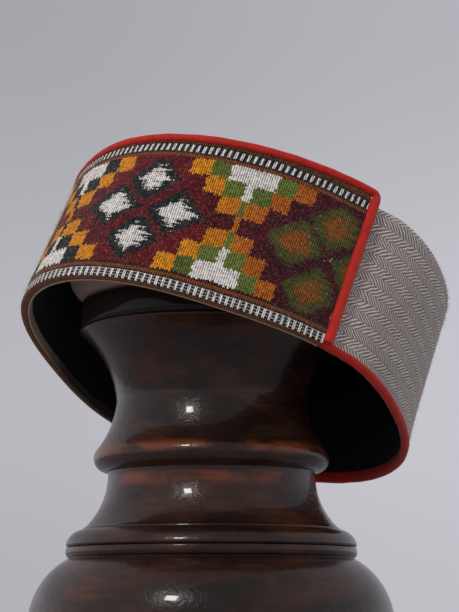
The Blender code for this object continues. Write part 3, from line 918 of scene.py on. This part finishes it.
class CapShape:
    """The surfaces of the cap, worked out from its sizes."""

    def __init__(self, sizes):
        self.sizes = sizes
        self.inset = sizes.tweed_wall + CLEARANCE
        self.shoulder_level = sizes.crown_height - sizes.shoulder_radius
        self.girth_step = TURN / GIRTH_STEPS
        self.girth = [0.0]
        before = self.flat_point(0.0, 0.0, HALFWAY)
        for step in range(1, GIRTH_STEPS + 1):
            point = self.flat_point(step * self.girth_step, 0.0, HALFWAY)
            self.girth.append(self.girth[-1] + (point - before).length)
            before = point

    def along(self, bearing):
        """Length along the cloth from the front, negative to the other side of the front."""
        place = abs(bearing) / self.girth_step
        low = min(int(place), GIRTH_STEPS - 1)
        share = place - low
        reach = self.girth[low] * (1 - share) + self.girth[low + 1] * share
        return math.copysign(reach, bearing)

    def radius(self, bearing, height):
        s = self.sizes
        rim = outline_through(
            bearing, s.rim_front, s.rim_back, s.rim_side, s.rim_front_diagonal, s.rim_back_diagonal)
        top = outline_through(
            bearing, s.top_front, s.top_back, s.top_side, s.top_front_diagonal, s.top_back_diagonal)
        return rim + (top - rim) * height / s.band_height_end

    def flat_point(self, bearing, depth, height, share=1.0):
        """A point in the cap's own frame, at a share of the way out from its middle."""
        s = self.sizes
        radius = (self.radius(bearing, height) - depth) * share
        up = height / s.band_height_end
        drop = s.side_drop * math.sin(bearing) ** 2 * (1 - up)
        leaning = bearing + s.side_lean * math.sin(bearing) * up
        return Vector((radius * math.sin(leaning), -radius * math.cos(leaning), height - drop))

    def point(self, bearing, depth, height):
        return CAP_POSE @ self.flat_point(bearing, depth, height)

    def spot(self, bearing, depth, height, up=None, layer=0.0):
        """A point and its place on the cloth, whose height there may differ from the point's."""
        place = (self.along(bearing), height if up is None else up, layer)
        return self.point(bearing, depth, height), place

    def outward(self, bearing, depth, height):
        """The way out of the wall at a point."""
        beyond = self.point(bearing, depth - 0.01, height)
        return (beyond - self.point(bearing, depth, height)).normalized()

    def band_height(self, bearing):
        s = self.sizes
        share = min(1.0, (1 - math.cos(bearing)) / (1 - math.cos(s.band_end)))
        return s.band_height_front + (s.band_height_end - s.band_height_front) * share

    def tweed_depth(self, bearing, height):
        """Depth of the tweed's outer face: under the band, and fuller past its ends."""
        s = self.sizes
        from_front = abs(math.remainder(bearing, TURN))
        share = smooth((from_front - s.band_end - EASE_START) / EASE_LENGTH)
        under_band = s.band_wall + CLEARANCE
        behind = TWEED_DEPTH_BACK - TWEED_BULGE * height / s.crown_height
        return under_band + (behind - under_band) * share

    def shoulder(self, bearing, inset, turn):
        """Depth and height on the rounded shoulder, after a turn from upright."""
        radius = self.sizes.shoulder_radius - inset
        height = self.shoulder_level + radius * math.sin(turn)
        depth = self.tweed_depth(bearing, height) + self.sizes.shoulder_radius - radius * math.cos(turn)
        return depth, height

    def behind_band(self, bearing):
        return not -self.sizes.band_left <= math.remainder(bearing, TURN) <= self.sizes.band_end

    def bearings(self, fine, coarse):
        """Angles once round the cap, coarse under the band and fine past its ends."""
        left, right = -self.sizes.band_left, self.sizes.band_end
        front = spread(left, right, round((right - left) / math.radians(coarse)))
        back = spread(right, TURN + left, round((TURN + left - right) / math.radians(fine)))
        return front + back[1:-1]


def softness(place, size, height):
    """Gentle unevenness of a cloth, the same on every run."""
    return noise.noise(place / size) * height


# Tweed wall, crown and lining

WALL_SOFTNESS = (0.03, 0.0006)
CROWN_SOFTNESS = (0.035, 0.0007)
CREASE_HEIGHT = 0.0014
CREASE_WIDTH = 0.007
CROWN_EDGE_DROP = 0.0007
CROWN_PLACE = 0.2
SEAM_FULLNESS = 0.0016
SEAM_START = 1.75
SEAM_FADE = 0.5
SEAM_DIP = 0.0005
BINDING_OVERLAP = 0.0013
SELVEDGE_FOLD = 0.0012
FACING_HEIGHT = 0.0047


def tweed_columns(shape):
    s = shape.sizes
    columns = []
    for bearing in shape.bearings(0.6, 3.0):
        behind = shape.behind_band(bearing)
        low = s.binding_height - BINDING_OVERLAP if behind else SELVEDGE_FOLD + CLEARANCE
        along = shape.along(bearing)
        loop = []
        for height in spread(low, shape.shoulder_level, 60):
            depth = shape.tweed_depth(bearing, height)
            if behind:
                depth -= softness(Vector((along, height, 0.0)), *WALL_SOFTNESS) * smooth(height / 0.02)
            loop.append(shape.spot(bearing, depth, height))
        for turn in spread(0.0, QUARTER, 14)[1:]:
            depth, height = shape.shoulder(bearing, 0.0, turn)
            up = shape.shoulder_level + s.shoulder_radius * turn
            if behind:
                past = abs(math.remainder(bearing, TURN)) - SEAM_START
                fullness = SEAM_FULLNESS * (1 - smooth(past / SEAM_FADE)) * math.sin(2 * turn)
                slack = softness(Vector((along, up, 0.0)), *WALL_SOFTNESS)
                depth -= (fullness + slack) * math.cos(turn)
                height += fullness * math.sin(turn)
            if turn > 1.5:
                height -= SEAM_DIP
            loop.append(shape.spot(bearing, depth, height, up))
        for turn in spread(QUARTER, 0.0, 5):
            loop.append(shape.spot(bearing, *shape.shoulder(bearing, s.tweed_wall, turn), layer=BACK))
        for height in spread(shape.shoulder_level, low, 8)[1:]:
            depth = shape.tweed_depth(bearing, height) + s.tweed_wall
            loop.append(shape.spot(bearing, depth, height, layer=BACK))
        columns.append(loop)
    return columns


def disc_rings(shape, level, inset, shares, bearings, layer, crease):
    """Rings of a flat top, with a soft fold along its middle if it has a crease."""
    rings = []
    for share in shares:
        ring = []
        for bearing in bearings:
            depth = shape.tweed_depth(bearing, level) + shape.sizes.shoulder_radius + inset
            point = shape.flat_point(bearing, depth, level, share)
            place = (point.x, point.y + CROWN_PLACE, layer)
            if crease:
                ridge = CREASE_HEIGHT * math.exp(-(point.x / CREASE_WIDTH) ** 2)
                point.z += ridge * (1 - share ** 6) + softness(point, *CROWN_SOFTNESS) * (1 - share ** 4)
                if layer != BACK:
                    point.z -= CROWN_EDGE_DROP * share ** 60
            ring.append((CAP_POSE @ point, place))
        rings.append(ring)
    return rings


def closed_disc(outer, outer_centre, inner, inner_centre):
    """A cloth disc from its outer and inner rings, joined at their rims."""
    points, faces, cloth = domed(outer, *outer_centre)
    start = len(points)
    inner_points, inner_faces, inner_cloth = domed(inner, *inner_centre)
    points += inner_points
    cloth += inner_cloth
    faces += [tuple(corner + start for corner in face) for face in inner_faces]
    faces += ring_faces(0, start, len(outer[0]))
    return points, faces, cloth


def crown_mesh(shape):
    s = shape.sizes
    bearings = shape.bearings(2.0, 2.0)

    def face(level, shares, layer):
        rings = disc_rings(shape, level, CLEARANCE, shares, bearings, layer, True)
        return rings, (CAP_POSE @ on_axis(level + CREASE_HEIGHT), (0.0, CROWN_PLACE, layer))

    top = face(s.crown_height, [1.0, 0.995, 0.985] + spread(0.97, 0.03, 40), 0.0)
    under = face(s.crown_height - s.tweed_wall, [1.0] + spread(0.97, 0.05, 18), BACK)
    return closed_disc(*top, *under)


def lining_mesh(shape):
    s = shape.sizes
    bearings = shape.bearings(2.0, 2.0)

    def face(inset, layer):
        rings = []
        for share in spread(0.0, 1.0, 30):
            ring = []
            for bearing in bearings:
                low = (s.binding_height if shape.behind_band(bearing) else FACING_HEIGHT) + CLEARANCE
                height = low + (shape.shoulder_level - low) * share
                depth = shape.tweed_depth(bearing, height) + inset
                ring.append(shape.spot(bearing, depth, height, layer=layer))
            rings.append(ring)
        for turn in spread(0.0, QUARTER, 6)[1:-1]:
            rings.append([shape.spot(bearing, *shape.shoulder(bearing, inset, turn), layer=layer)
                          for bearing in bearings])
        level = s.crown_height - inset
        rings += disc_rings(shape, level, 0.0, [1.0] + spread(0.95, 0.06, 12), bearings, layer, False)
        return rings, (CAP_POSE @ on_axis(level), (0.0, CROWN_PLACE, layer))

    return closed_disc(*face(shape.inset, 0.0), *face(shape.inset + s.lining_wall, 1.0))


# Woven band. A little left of the front its top is pressed down and its cord is thinner.

PRESSED_DEPTH = 0.0015
PIPING_THINNING = 0.35
FRONT_CREASE = 0.0009
FRONT_CREASE_WIDTH = 0.0022
BAND_SOFTNESS = (0.024, 0.0006)
SELVEDGE_ROUND = 0.0013
SELVEDGE_EDGE = 0.0004
BAND_BACK_LOW = 0.004
FOLDED = 1.0


def pressed_down(bearing):
    """How far the top is pressed down here, from 0 to 1."""
    turn = math.degrees(bearing)
    return smooth((12.0 - turn) / 22.0) * smooth((turn + 52.0) / 24.0)


def band_columns(shape):
    s = shape.sizes
    fold_depth = s.band_wall + CLEARANCE + s.tweed_wall
    columns = []
    for bearing in spread(-s.band_left, s.band_end, 320):
        along = shape.along(bearing)
        top = shape.band_height(bearing) - s.band_tuck - PRESSED_DEPTH * pressed_down(bearing)
        from_end = min(s.band_end - bearing, s.band_left + bearing) / s.band_end
        crease = FRONT_CREASE * math.exp(-(along / FRONT_CREASE_WIDTH) ** 2)
        loop = []
        for height in spread(top, SELVEDGE_ROUND, 76):
            held = smooth((top - height) / 0.012) * smooth(height / 0.012) * smooth(from_end / 0.06)
            proud = crease + softness(Vector((along, height, 0.3)), *BAND_SOFTNESS)
            loop.append(shape.spot(bearing, -proud * held, height))
        for turn in spread(0.0, QUARTER, 6)[1:]:
            depth = SELVEDGE_ROUND * (1 - math.cos(turn))
            height = SELVEDGE_ROUND * (1 - math.sin(turn))
            layer = 0.0 if turn < 0.7 else FOLDED
            loop.append(shape.spot(bearing, depth, height, SELVEDGE_ROUND * (1 - turn), layer))
        for depth in spread(SELVEDGE_ROUND, fold_depth - SELVEDGE_EDGE, 5)[1:]:
            loop.append(shape.spot(bearing, depth, 0.0, -depth, FOLDED))
        for height in (SELVEDGE_EDGE, SELVEDGE_FOLD):
            loop.append(shape.spot(bearing, fold_depth, height, -fold_depth, FOLDED))
        loop.append(shape.spot(bearing, s.band_wall, SELVEDGE_FOLD, 0.0, BACK))
        for height in spread(BAND_BACK_LOW, top, 12):
            loop.append(shape.spot(bearing, s.band_wall, height, layer=BACK))
        columns.append(loop)
    return columns


# Facing and binding. A section's pair is a share of the facing's wall, or of the binding's half
# width, and a height in millimetres. The facing's goes up the outside, over the top and down the
# inside. The binding's goes down the outside, under the edge and up the inside.

FACING_SECTION = (
    (0.0, 0.3), (0.0, 4.7), (0.5, 4.8), (1.0, 4.4), (1.1, 3.6), (1.1, 2.4), (1.1, 1.2), (1.0, 0.3),
    (0.5, 0.0),
)
BINDING_SECTION = (
    (-1.00, 2.7), (-1.02, 2.0), (-0.95, 1.2), (-0.72, 0.55), (-0.38, 0.12), (0.0, 0.0), (0.38, 0.12),
    (0.72, 0.55), (0.95, 1.4), (1.02, 2.6), (1.02, 3.8), (0.98, 4.9), (0.86, 5.1), (0.76, 4.9),
    (0.74, 3.5), (0.55, 2.4), (0.0, 2.2), (-0.5, 2.2), (-0.70, 2.5), (-0.78, 2.8), (-0.88, 2.9),
)
BINDING_PROUD = 0.0007
BINDING_INSIDE_MM = 3
BINDING_PUCKER = (0.007, 0.00022)
PUCKER_STEP = 0.002
BINDING_CLOTH_STEP = 0.0008


def facing_columns(shape):
    s = shape.sizes
    columns = []
    for bearing in spread(-s.band_left, s.band_end, 160):
        face = shape.tweed_depth(bearing, 0.0) + shape.inset
        columns.append([shape.spot(bearing, face + share * s.lining_wall, height_mm * MM)
                        for share, height_mm in FACING_SECTION])
    return columns


def binding_columns(shape):
    """Red tape folded round the lower edge of the tweed and the lining."""
    s = shape.sizes
    gap = CLEARANCE / s.rim_side
    half_cloth = (shape.inset + s.lining_wall) / 2
    columns = []
    for bearing in spread(s.band_end + 2 * gap, TURN - s.band_left - 2 * gap, 380):
        along = shape.along(bearing)
        middle = shape.tweed_depth(bearing, 0.0) + half_cloth
        loop = []
        for number, (share, height_mm) in enumerate(BINDING_SECTION):
            pucker = softness(Vector((along, number * PUCKER_STEP, 0.0)), *BINDING_PUCKER)
            depth = middle + share * (half_cloth + BINDING_PROUD + pucker)
            height = height_mm * MM + (pucker if height_mm > BINDING_INSIDE_MM else -pucker)
            loop.append(shape.spot(bearing, depth, max(0.0, height), number * BINDING_CLOTH_STEP))
        columns.append(loop)
    return columns


# Piping

PIPING_FOOT = 0.0016
PIPING_END_STEPS = 54
PIPING_CORNER_STEPS = 12
PIPING_SIDES = 14
PIPING_PUCKER = (0.006, 0.00016)
PIPING_FLATNESS = 0.2


def piping_end(shape, side, band_end):
    """Up the band's end and round its corner, as angle, height and radius."""
    s = shape.sizes
    bend = s.end_piping + CLEARANCE
    beyond = bend / s.rim_side
    top = shape.band_height(band_end) + s.piping_rise - s.piping
    rows = [(side * (band_end + beyond), height, s.end_piping)
            for height in spread(PIPING_FOOT, top - bend, PIPING_END_STEPS)]
    for turn in spread(0.0, QUARTER, PIPING_CORNER_STEPS)[1:-1]:
        bearing = side * (band_end + beyond * math.cos(turn))
        radius = s.end_piping + (s.piping - s.end_piping) * math.sin(turn)
        rows.append((bearing, top - bend * (1 - math.sin(turn)), radius))
    return rows


def piping_route(shape):
    """Up one end of the band, along its top and down the other end."""
    s = shape.sizes
    route = piping_end(shape, -1, s.band_left)
    for bearing in spread(-s.band_left, s.band_end, 330):
        pressed = pressed_down(bearing)
        radius = s.piping * (1 - PIPING_THINNING * pressed)
        top = shape.band_height(bearing) - PRESSED_DEPTH * pressed
        route.append((bearing, top + s.piping_rise * (1 - pressed) - radius, radius))
    return route + piping_end(shape, 1, s.band_end)[::-1]


def piping_columns(shape):
    """Folded red tape over a cord, flatter along the band's ends."""
    route = piping_route(shape)
    centres = [shape.point(bearing, shape.sizes.band_wall - radius, height)
               for bearing, height, radius in route]
    columns = []
    run = 0.0
    across = None
    for number, centre in enumerate(centres):
        radius = route[number][2]
        before = centres[max(0, number - 1)]
        after = centres[min(len(centres) - 1, number + 1)]
        heading = (after - before).normalized()
        run += (centre - before).length
        if across is None:
            across = heading.orthogonal()
        across = (across - heading * across.dot(heading)).normalized()
        other = heading.cross(across)
        flat_way = heading.cross(centre - CAP_POSE @ on_axis(HALFWAY)).normalized()
        at_end = min(number, len(route) - 1 - number) < PIPING_END_STEPS
        loop = []
        for side, turn in enumerate(turns(PIPING_SIDES)):
            pucker = softness(Vector((run, side * PUCKER_STEP, 0.5)), *PIPING_PUCKER)
            spoke = (across * math.cos(turn) + other * math.sin(turn)) * (radius + pucker)
            if at_end:
                spoke += flat_way * flat_way.dot(spoke) * PIPING_FLATNESS
            loop.append((centre + spoke, (run, turn * radius, 0.0)))
        columns.append(loop)
    return columns


# Pad: soft cushion between the drum and the crown

PAD_ROWS = (
    # share of the height, share of the radius
    (0.00, 0.86), (0.03, 0.915), (0.07, 0.95), (0.12, 0.98), (0.18, 1.00), (0.25, 1.00), (0.32, 0.98),
    (0.41, 0.95), (0.50, 0.91), (0.60, 0.86), (0.70, 0.80), (0.79, 0.745), (0.88, 0.68), (0.96, 0.60),
    (1.00, 0.53),
)
PAD_RADIUS = 0.070
PAD_LEVEL = DRUM_TOP + CLEARANCE
PAD_HEIGHT = 0.0421
PAD_SIDES = 120
PAD_INSET = 0.0006
PAD_SOFTNESS = (0.016, 0.0011)
PAD_TOP_PLACE = (0.0, 0.3, 0.0)


def pad_mesh():
    """A cushion that leans over from the drum's level to the cap's tilt."""
    tilt = CAP_TURN.to_quaternion()
    rings = []
    for height_share, radius_share in PAD_ROWS:
        centre = on_axis(PAD_LEVEL + PAD_HEIGHT * height_share)
        turn = Quaternion().slerp(tilt, height_share)
        ring = []
        for bearing in turns(PAD_SIDES):
            spoke = Vector((math.cos(bearing), math.sin(bearing), 0.0))
            slack = softness(spoke * 0.05 + on_axis(height_share * 0.06), *PAD_SOFTNESS)
            reach = PAD_RADIUS * radius_share - PAD_INSET - abs(slack) * math.sin(math.pi * height_share)
            ring.append((centre + turn @ (spoke * reach), (bearing * PAD_RADIUS, centre.z, 0.0)))
        rings.append(ring)
    return domed(rings, on_axis(PAD_LEVEL + PAD_HEIGHT), PAD_TOP_PLACE, on_axis(PAD_LEVEL))


# Loose fibres

TWEED_FIBRES = 5200
TWEED_FIBRE_REACH = 0.0024
TWEED_FIBRE_RADIUS = 0.00005
TWEED_SEEDS = (11, 12)
BAND_FIBRES = 6400
BAND_FIBRE_REACH = 0.0022
BAND_FIBRE_RADIUS = 0.00004
BAND_SEEDS = (21, 22)
BAND_FIBRE_TINT = (0.62, 0.42, 0.2)
FIBRE_ROOT = 0.0003
PAST_BAND = 0.06
WITHIN_BAND = 0.97


def any_way(draw, rise):
    """A random direction and strength, with this much rise at most."""
    return Vector((draw.uniform(-1, 1), draw.uniform(-1, 1), draw.uniform(-1, rise)))


def fibre_mesh(roots, reach, thickness, seed):
    """Short curved hairs: each is a thin bent spike with three sides."""
    draw = random.Random(seed)
    points, faces, cloth = [], [], []
    for root, outward, place in roots:
        first = (outward + any_way(draw, 1) * 0.9).normalized()
        second = (first + any_way(draw, 0.6)).normalized()
        size = reach * draw.uniform(0.35, 1.0)
        middle = root + first * size * 0.5
        across = first.orthogonal().normalized()
        other = first.cross(across)
        start = len(points)
        for centre, radius in ((root - outward * FIBRE_ROOT, thickness), (middle, thickness * 0.8)):
            points += [centre + (across * math.cos(turn) + other * math.sin(turn)) * radius
                       for turn in turns(3)]
        points.append(middle + second * size * 0.5)
        cloth += [place] * 7
        faces.append((start + 2, start + 1, start))
        for side in range(3):
            after = (side + 1) % 3
            faces.append((start + side, start + after, start + 3 + after, start + 3 + side))
            faces.append((start + 3 + side, start + 3 + after, start + 6))
    return points, faces, cloth


def tweed_roots(shape, count, seed):
    """Places on the tweed's outer face and on its shoulder, each with its way out."""
    s = shape.sizes
    draw = random.Random(seed)
    up = (CAP_POSE.to_3x3() @ on_axis(1.0)).normalized()
    roots = []
    for _ in range(count):
        bearing = draw.uniform(s.band_end + PAST_BAND, TURN - s.band_end - PAST_BAND)
        if draw.random() < 0.5:
            turn = 0.0
            height = draw.uniform(s.binding_height + 0.001, shape.shoulder_level)
            depth = shape.tweed_depth(bearing, height)
        else:
            turn = draw.uniform(0.0, QUARTER)
            depth, height = shape.shoulder(bearing, 0.0, turn)
        point, place = shape.spot(bearing, depth, height)
        outward = shape.outward(bearing, depth, height) * math.cos(turn) + up * math.sin(turn)
        roots.append((point, outward.normalized(), place))
    return roots


def band_roots(shape, count, seed):
    """Places on the band's face, each with its way out."""
    end = shape.sizes.band_end * WITHIN_BAND
    draw = random.Random(seed)
    roots = []
    for _ in range(count):
        bearing = draw.uniform(-end, end)
        height = draw.uniform(0.001, shape.band_height(bearing) - 0.004)
        point, place = shape.spot(bearing, 0.0, height)
        roots.append((point, shape.outward(bearing, 0.0, height), place))
    return roots


# Operators

def cap_shape(context):
    return CapShape(context.scene.cap_sizes)


class OBJECT_OT_turned_stand(bpy.types.Operator):
    """Turns the base and the column of the stand and varnishes them"""
    bl_idname = "cap.turned_stand"
    bl_label = "Turned stand"

    def execute(self, context):
        finish = context.scene.stand_finish
        wood = wood_material(finish)
        base = lathe(base_profile(), finish.sides)
        column = lathe(column_profile(), finish.sides)
        dress("stand_base", "turned_base", base, wood, SHARP_WOOD)
        dress("stand_column", "turned_column", column, wood, SHARP_WOOD)
        return {"FINISHED"}


class OBJECT_OT_soft_pad(bpy.types.Operator):
    """Stuffs the pad between the stand and the crown"""
    bl_idname = "cap.soft_pad"
    bl_label = "Soft pad"

    def execute(self, context):
        cotton = plain_cloth_material("pad_cotton", context.scene.stand_finish.pad, 0.9, 0.18, 0.2)
        pad = dress("stand_pad", "soft_pad", pad_mesh(), cotton)
        return {"FINISHED"}


class OBJECT_OT_tweed(bpy.types.Operator):
    """Sews the tweed wall and crown"""
    bl_idname = "cap.tweed"
    bl_label = "Tweed wall and crown"

    def execute(self, context):
        shape = cap_shape(context)
        wool = tweed_material(context.scene.cap_colours)
        dress("tweed_wall", "tweed_side", swept(tweed_columns(shape), True), wool)
        dress("tweed_crown", "tweed_top", crown_mesh(shape), wool)
        return {"FINISHED"}


class OBJECT_OT_lining(bpy.types.Operator):
    """Lines the cap with black cotton"""
    bl_idname = "cap.lining"
    bl_label = "Lining"

    def execute(self, context):
        cotton = plain_cloth_material("lining_cotton", context.scene.cap_colours.lining, 0.7, 0.3, 0.05)
        dress("lining", "black_lining", lining_mesh(cap_shape(context)), cotton)
        return {"FINISHED"}


class OBJECT_OT_woven_band(bpy.types.Operator):
    """Weaves the patterned front band and tapes its lower edge"""
    bl_idname = "cap.woven_band"
    bl_label = "Woven band and facing"

    def execute(self, context):
        shape = cap_shape(context)
        wool = band_material(context.scene.cap_colours)
        tape = facing_material(context.scene.cap_colours)
        dress("front_band", "woven_band", swept(band_columns(shape)), wool)
        dress("band_facing", "facing_tape", swept(facing_columns(shape)), tape)
        return {"FINISHED"}


class OBJECT_OT_red_trim(bpy.types.Operator):
    """Folds the red binding round the rim and the piping round the band"""
    bl_idname = "cap.red_trim"
    bl_label = "Red binding and piping"

    def execute(self, context):
        shape = cap_shape(context)
        red = red_material(context.scene.cap_colours)
        dress("rim_binding", "rim_tape", swept(binding_columns(shape)), red, SHARP_TAPE)
        dress("band_piping", "red_piping", swept(piping_columns(shape)), red, SHARP_TAPE)
        return {"FINISHED"}


class OBJECT_OT_loose_fibres(bpy.types.Operator):
    """Raises short wool fibres on the tweed and on the band"""
    bl_idname = "cap.loose_fibres"
    bl_label = "Loose fibres"

    def execute(self, context):
        shape = cap_shape(context)
        roots = tweed_roots(shape, TWEED_FIBRES, TWEED_SEEDS[0])
        hairs = fibre_mesh(roots, TWEED_FIBRE_REACH, TWEED_FIBRE_RADIUS, TWEED_SEEDS[1])
        fuzz = piece_of("tweed_fuzz", hairs, fibre_material("tweed_fibre", context.scene.cap_colours.tweed))
        roots = band_roots(shape, BAND_FIBRES, BAND_SEEDS[0])
        hairs = fibre_mesh(roots, BAND_FIBRE_REACH, BAND_FIBRE_RADIUS, BAND_SEEDS[1])
        wisps = piece_of("band_fuzz", hairs, fibre_material("band_fibre", BAND_FIBRE_TINT))
        return {"FINISHED"}


class OBJECT_OT_cut_sizes(bpy.types.Operator):
    """Works out twice the band's length from the front to its right end, and does nothing with it"""
    bl_idname = "cap.cut_sizes"
    bl_label = "Cut sizes"

    def execute(self, context):
        shape = cap_shape(context)
        s = shape.sizes
        2 * shape.along(s.band_end)
        return {"FINISHED"}


# Studio. Directions are seen from the camera: the first axis runs to the right, the third upwards.

IMAGE_HEIGHT_PIXELS = 612
SENSOR_HEIGHT_MM = 36.0
FLOOR_RADIUS = 3.0
FLOOR_SIDES = 96
LAMP_AIM = Vector((0.0, 0.0, 0.15))
LAMP_TURN = math.radians(-27)
LAMP_DISTANCE = 0.95
LAMP_HEIGHT = 0.79
LAMP_SIZE = 0.14
LAMP_POWER = 3.7
LAMP_TINT = (1.0, 0.98, 0.95)


def backdrop(studio):
    """Pale light from all round, which changes to the sides and upwards."""
    world = bpy.data.worlds.new("soft_backdrop")
    bpy.context.scene.world = world
    world.use_nodes = True
    nodes = Nodes(world.node_tree)
    sky = nodes.tree.nodes["Background"]
    nodes.put(sky.inputs["Color"], studio.backdrop)
    seen = nodes.add("ShaderNodeVectorRotate", {"rotation_type": "Z_AXIS"},
                     {"Vector": nodes.add("ShaderNodeTexCoord"), "Angle": -studio.camera_turn})
    changes = (
        # axis, from and to along it, strength before and after
        (0, -1.0, -0.2, studio.left_light, 1.0),
        (0, 0.2, 1.0, 1.0, studio.right_light),
        (0, -0.14, 0.14, 0.93, 1.09),
        (2, 0.12, 0.34, 1.06, 0.84),
        (2, 0.0, 0.1, 0.93, 1.0),
        (2, 0.45, 0.85, 1.0, studio.top_light),
    )
    strength = 1.0
    for axis, low, high, before, after in changes:
        strength = nodes.part(seen, axis).rise(low, high, before, after) * strength
    nodes.put(sky.inputs["Strength"], strength)


def pale_floor(studio):
    paint = Paint("pale_floor")
    mottle = paint.clouds(paint.place(), 6.0, 3.0)
    paint.finish(paint.mix(mottle * 0.1, studio.floor, dimmed(studio.floor, 0.9)), 0.8)
    work = bmesh.new()
    bmesh.ops.create_circle(work, cap_ends=True, segments=FLOOR_SIDES, radius=FLOOR_RADIUS)
    mesh = bpy.data.meshes.new("studio_floor")
    work.to_mesh(mesh)
    work.free()
    mesh.materials.append(paint.material)
    placed("studio_floor", mesh)


def key_lamp(studio):
    """A small square lamp above and to the left of the camera."""
    lamp = bpy.data.lights.new("key_spot", "AREA")
    lamp.shape = "SQUARE"
    lamp.size = LAMP_SIZE
    lamp.energy = LAMP_POWER
    lamp.color = LAMP_TINT
    item = placed("key_spot", lamp)
    bearing = LAMP_TURN + studio.camera_turn
    item.location = (LAMP_DISTANCE * math.sin(bearing), -LAMP_DISTANCE * math.cos(bearing), LAMP_HEIGHT)
    item.rotation_euler = (LAMP_AIM - item.location).to_track_quat("-Z", "Y").to_euler()


def photo_camera(studio):
    camera = bpy.data.cameras.new("photo_camera")
    camera.sensor_fit = "VERTICAL"
    camera.sensor_height = SENSOR_HEIGHT_MM
    camera.lens = studio.focal_pixels * SENSOR_HEIGHT_MM / IMAGE_HEIGHT_PIXELS
    item = placed("photo_camera", camera)
    stand_off = Matrix.Translation((studio.camera_side, -studio.camera_distance, 0.0))
    raised = Matrix.Translation((0.0, 0.0, studio.camera_height))
    item.matrix_world = (raised @ Matrix.Rotation(studio.camera_turn, 4, "Z") @ stand_off
                         @ Matrix.Rotation(QUARTER + studio.camera_pitch, 4, "X"))
    bpy.context.scene.camera = item


class OBJECT_OT_studio(bpy.types.Operator):
    """Sets the floor, the backdrop light, the lamp and the camera"""
    bl_idname = "cap.studio"
    bl_label = "Studio"

    def execute(self, context):
        context.scene.view_settings.view_transform = "Standard"
        for part in (backdrop, pale_floor, key_lamp, photo_camera):
            part(context.scene.studio)
        return {"FINISHED"}


STEPS = (
    OBJECT_OT_studio,
    OBJECT_OT_turned_stand,
    OBJECT_OT_soft_pad,
    OBJECT_OT_tweed,
    OBJECT_OT_lining,
    OBJECT_OT_woven_band,
    OBJECT_OT_red_trim,
    OBJECT_OT_loose_fibres,
    OBJECT_OT_cut_sizes,
)


class VIEW3D_PT_cap(bpy.types.Panel):
    """Lists the steps that dress the cap and its stand."""
    bl_idname = "VIEW3D_PT_cap"
    bl_label = "Cap"
    bl_space_type = "VIEW_3D"
    bl_region_type = "UI"
    bl_category = "Cap"

    def draw(self, context):
        for step in STEPS:
            self.layout.operator(step.bl_idname)


GROUPS = (
    ("cap_sizes", CapSizes),
    ("cap_colours", CapColours),
    ("stand_finish", StandFinish),
    ("studio", StudioSetup),
)


def register():
    for name, group in GROUPS:
        bpy.utils.register_class(group)
        setattr(bpy.types.Scene, name, PointerProperty(type=group))
    for step in STEPS:
        bpy.utils.register_class(step)
    bpy.utils.register_class(VIEW3D_PT_cap)


def unregister():
    bpy.utils.unregister_class(VIEW3D_PT_cap)
    for step in reversed(STEPS):
        bpy.utils.unregister_class(step)
    for name, group in reversed(GROUPS):
        delattr(bpy.types.Scene, name)
        bpy.utils.unregister_class(group)


def main():
    register()
    bpy.ops.cap.studio()
    bpy.ops.cap.turned_stand()
    bpy.ops.cap.soft_pad()
    bpy.ops.cap.tweed()
    bpy.ops.cap.lining()
    bpy.ops.cap.woven_band()
    bpy.ops.cap.red_trim()
    bpy.ops.cap.loose_fibres()
    bpy.ops.cap.cut_sizes()


if __name__ == "__main__":
    main()
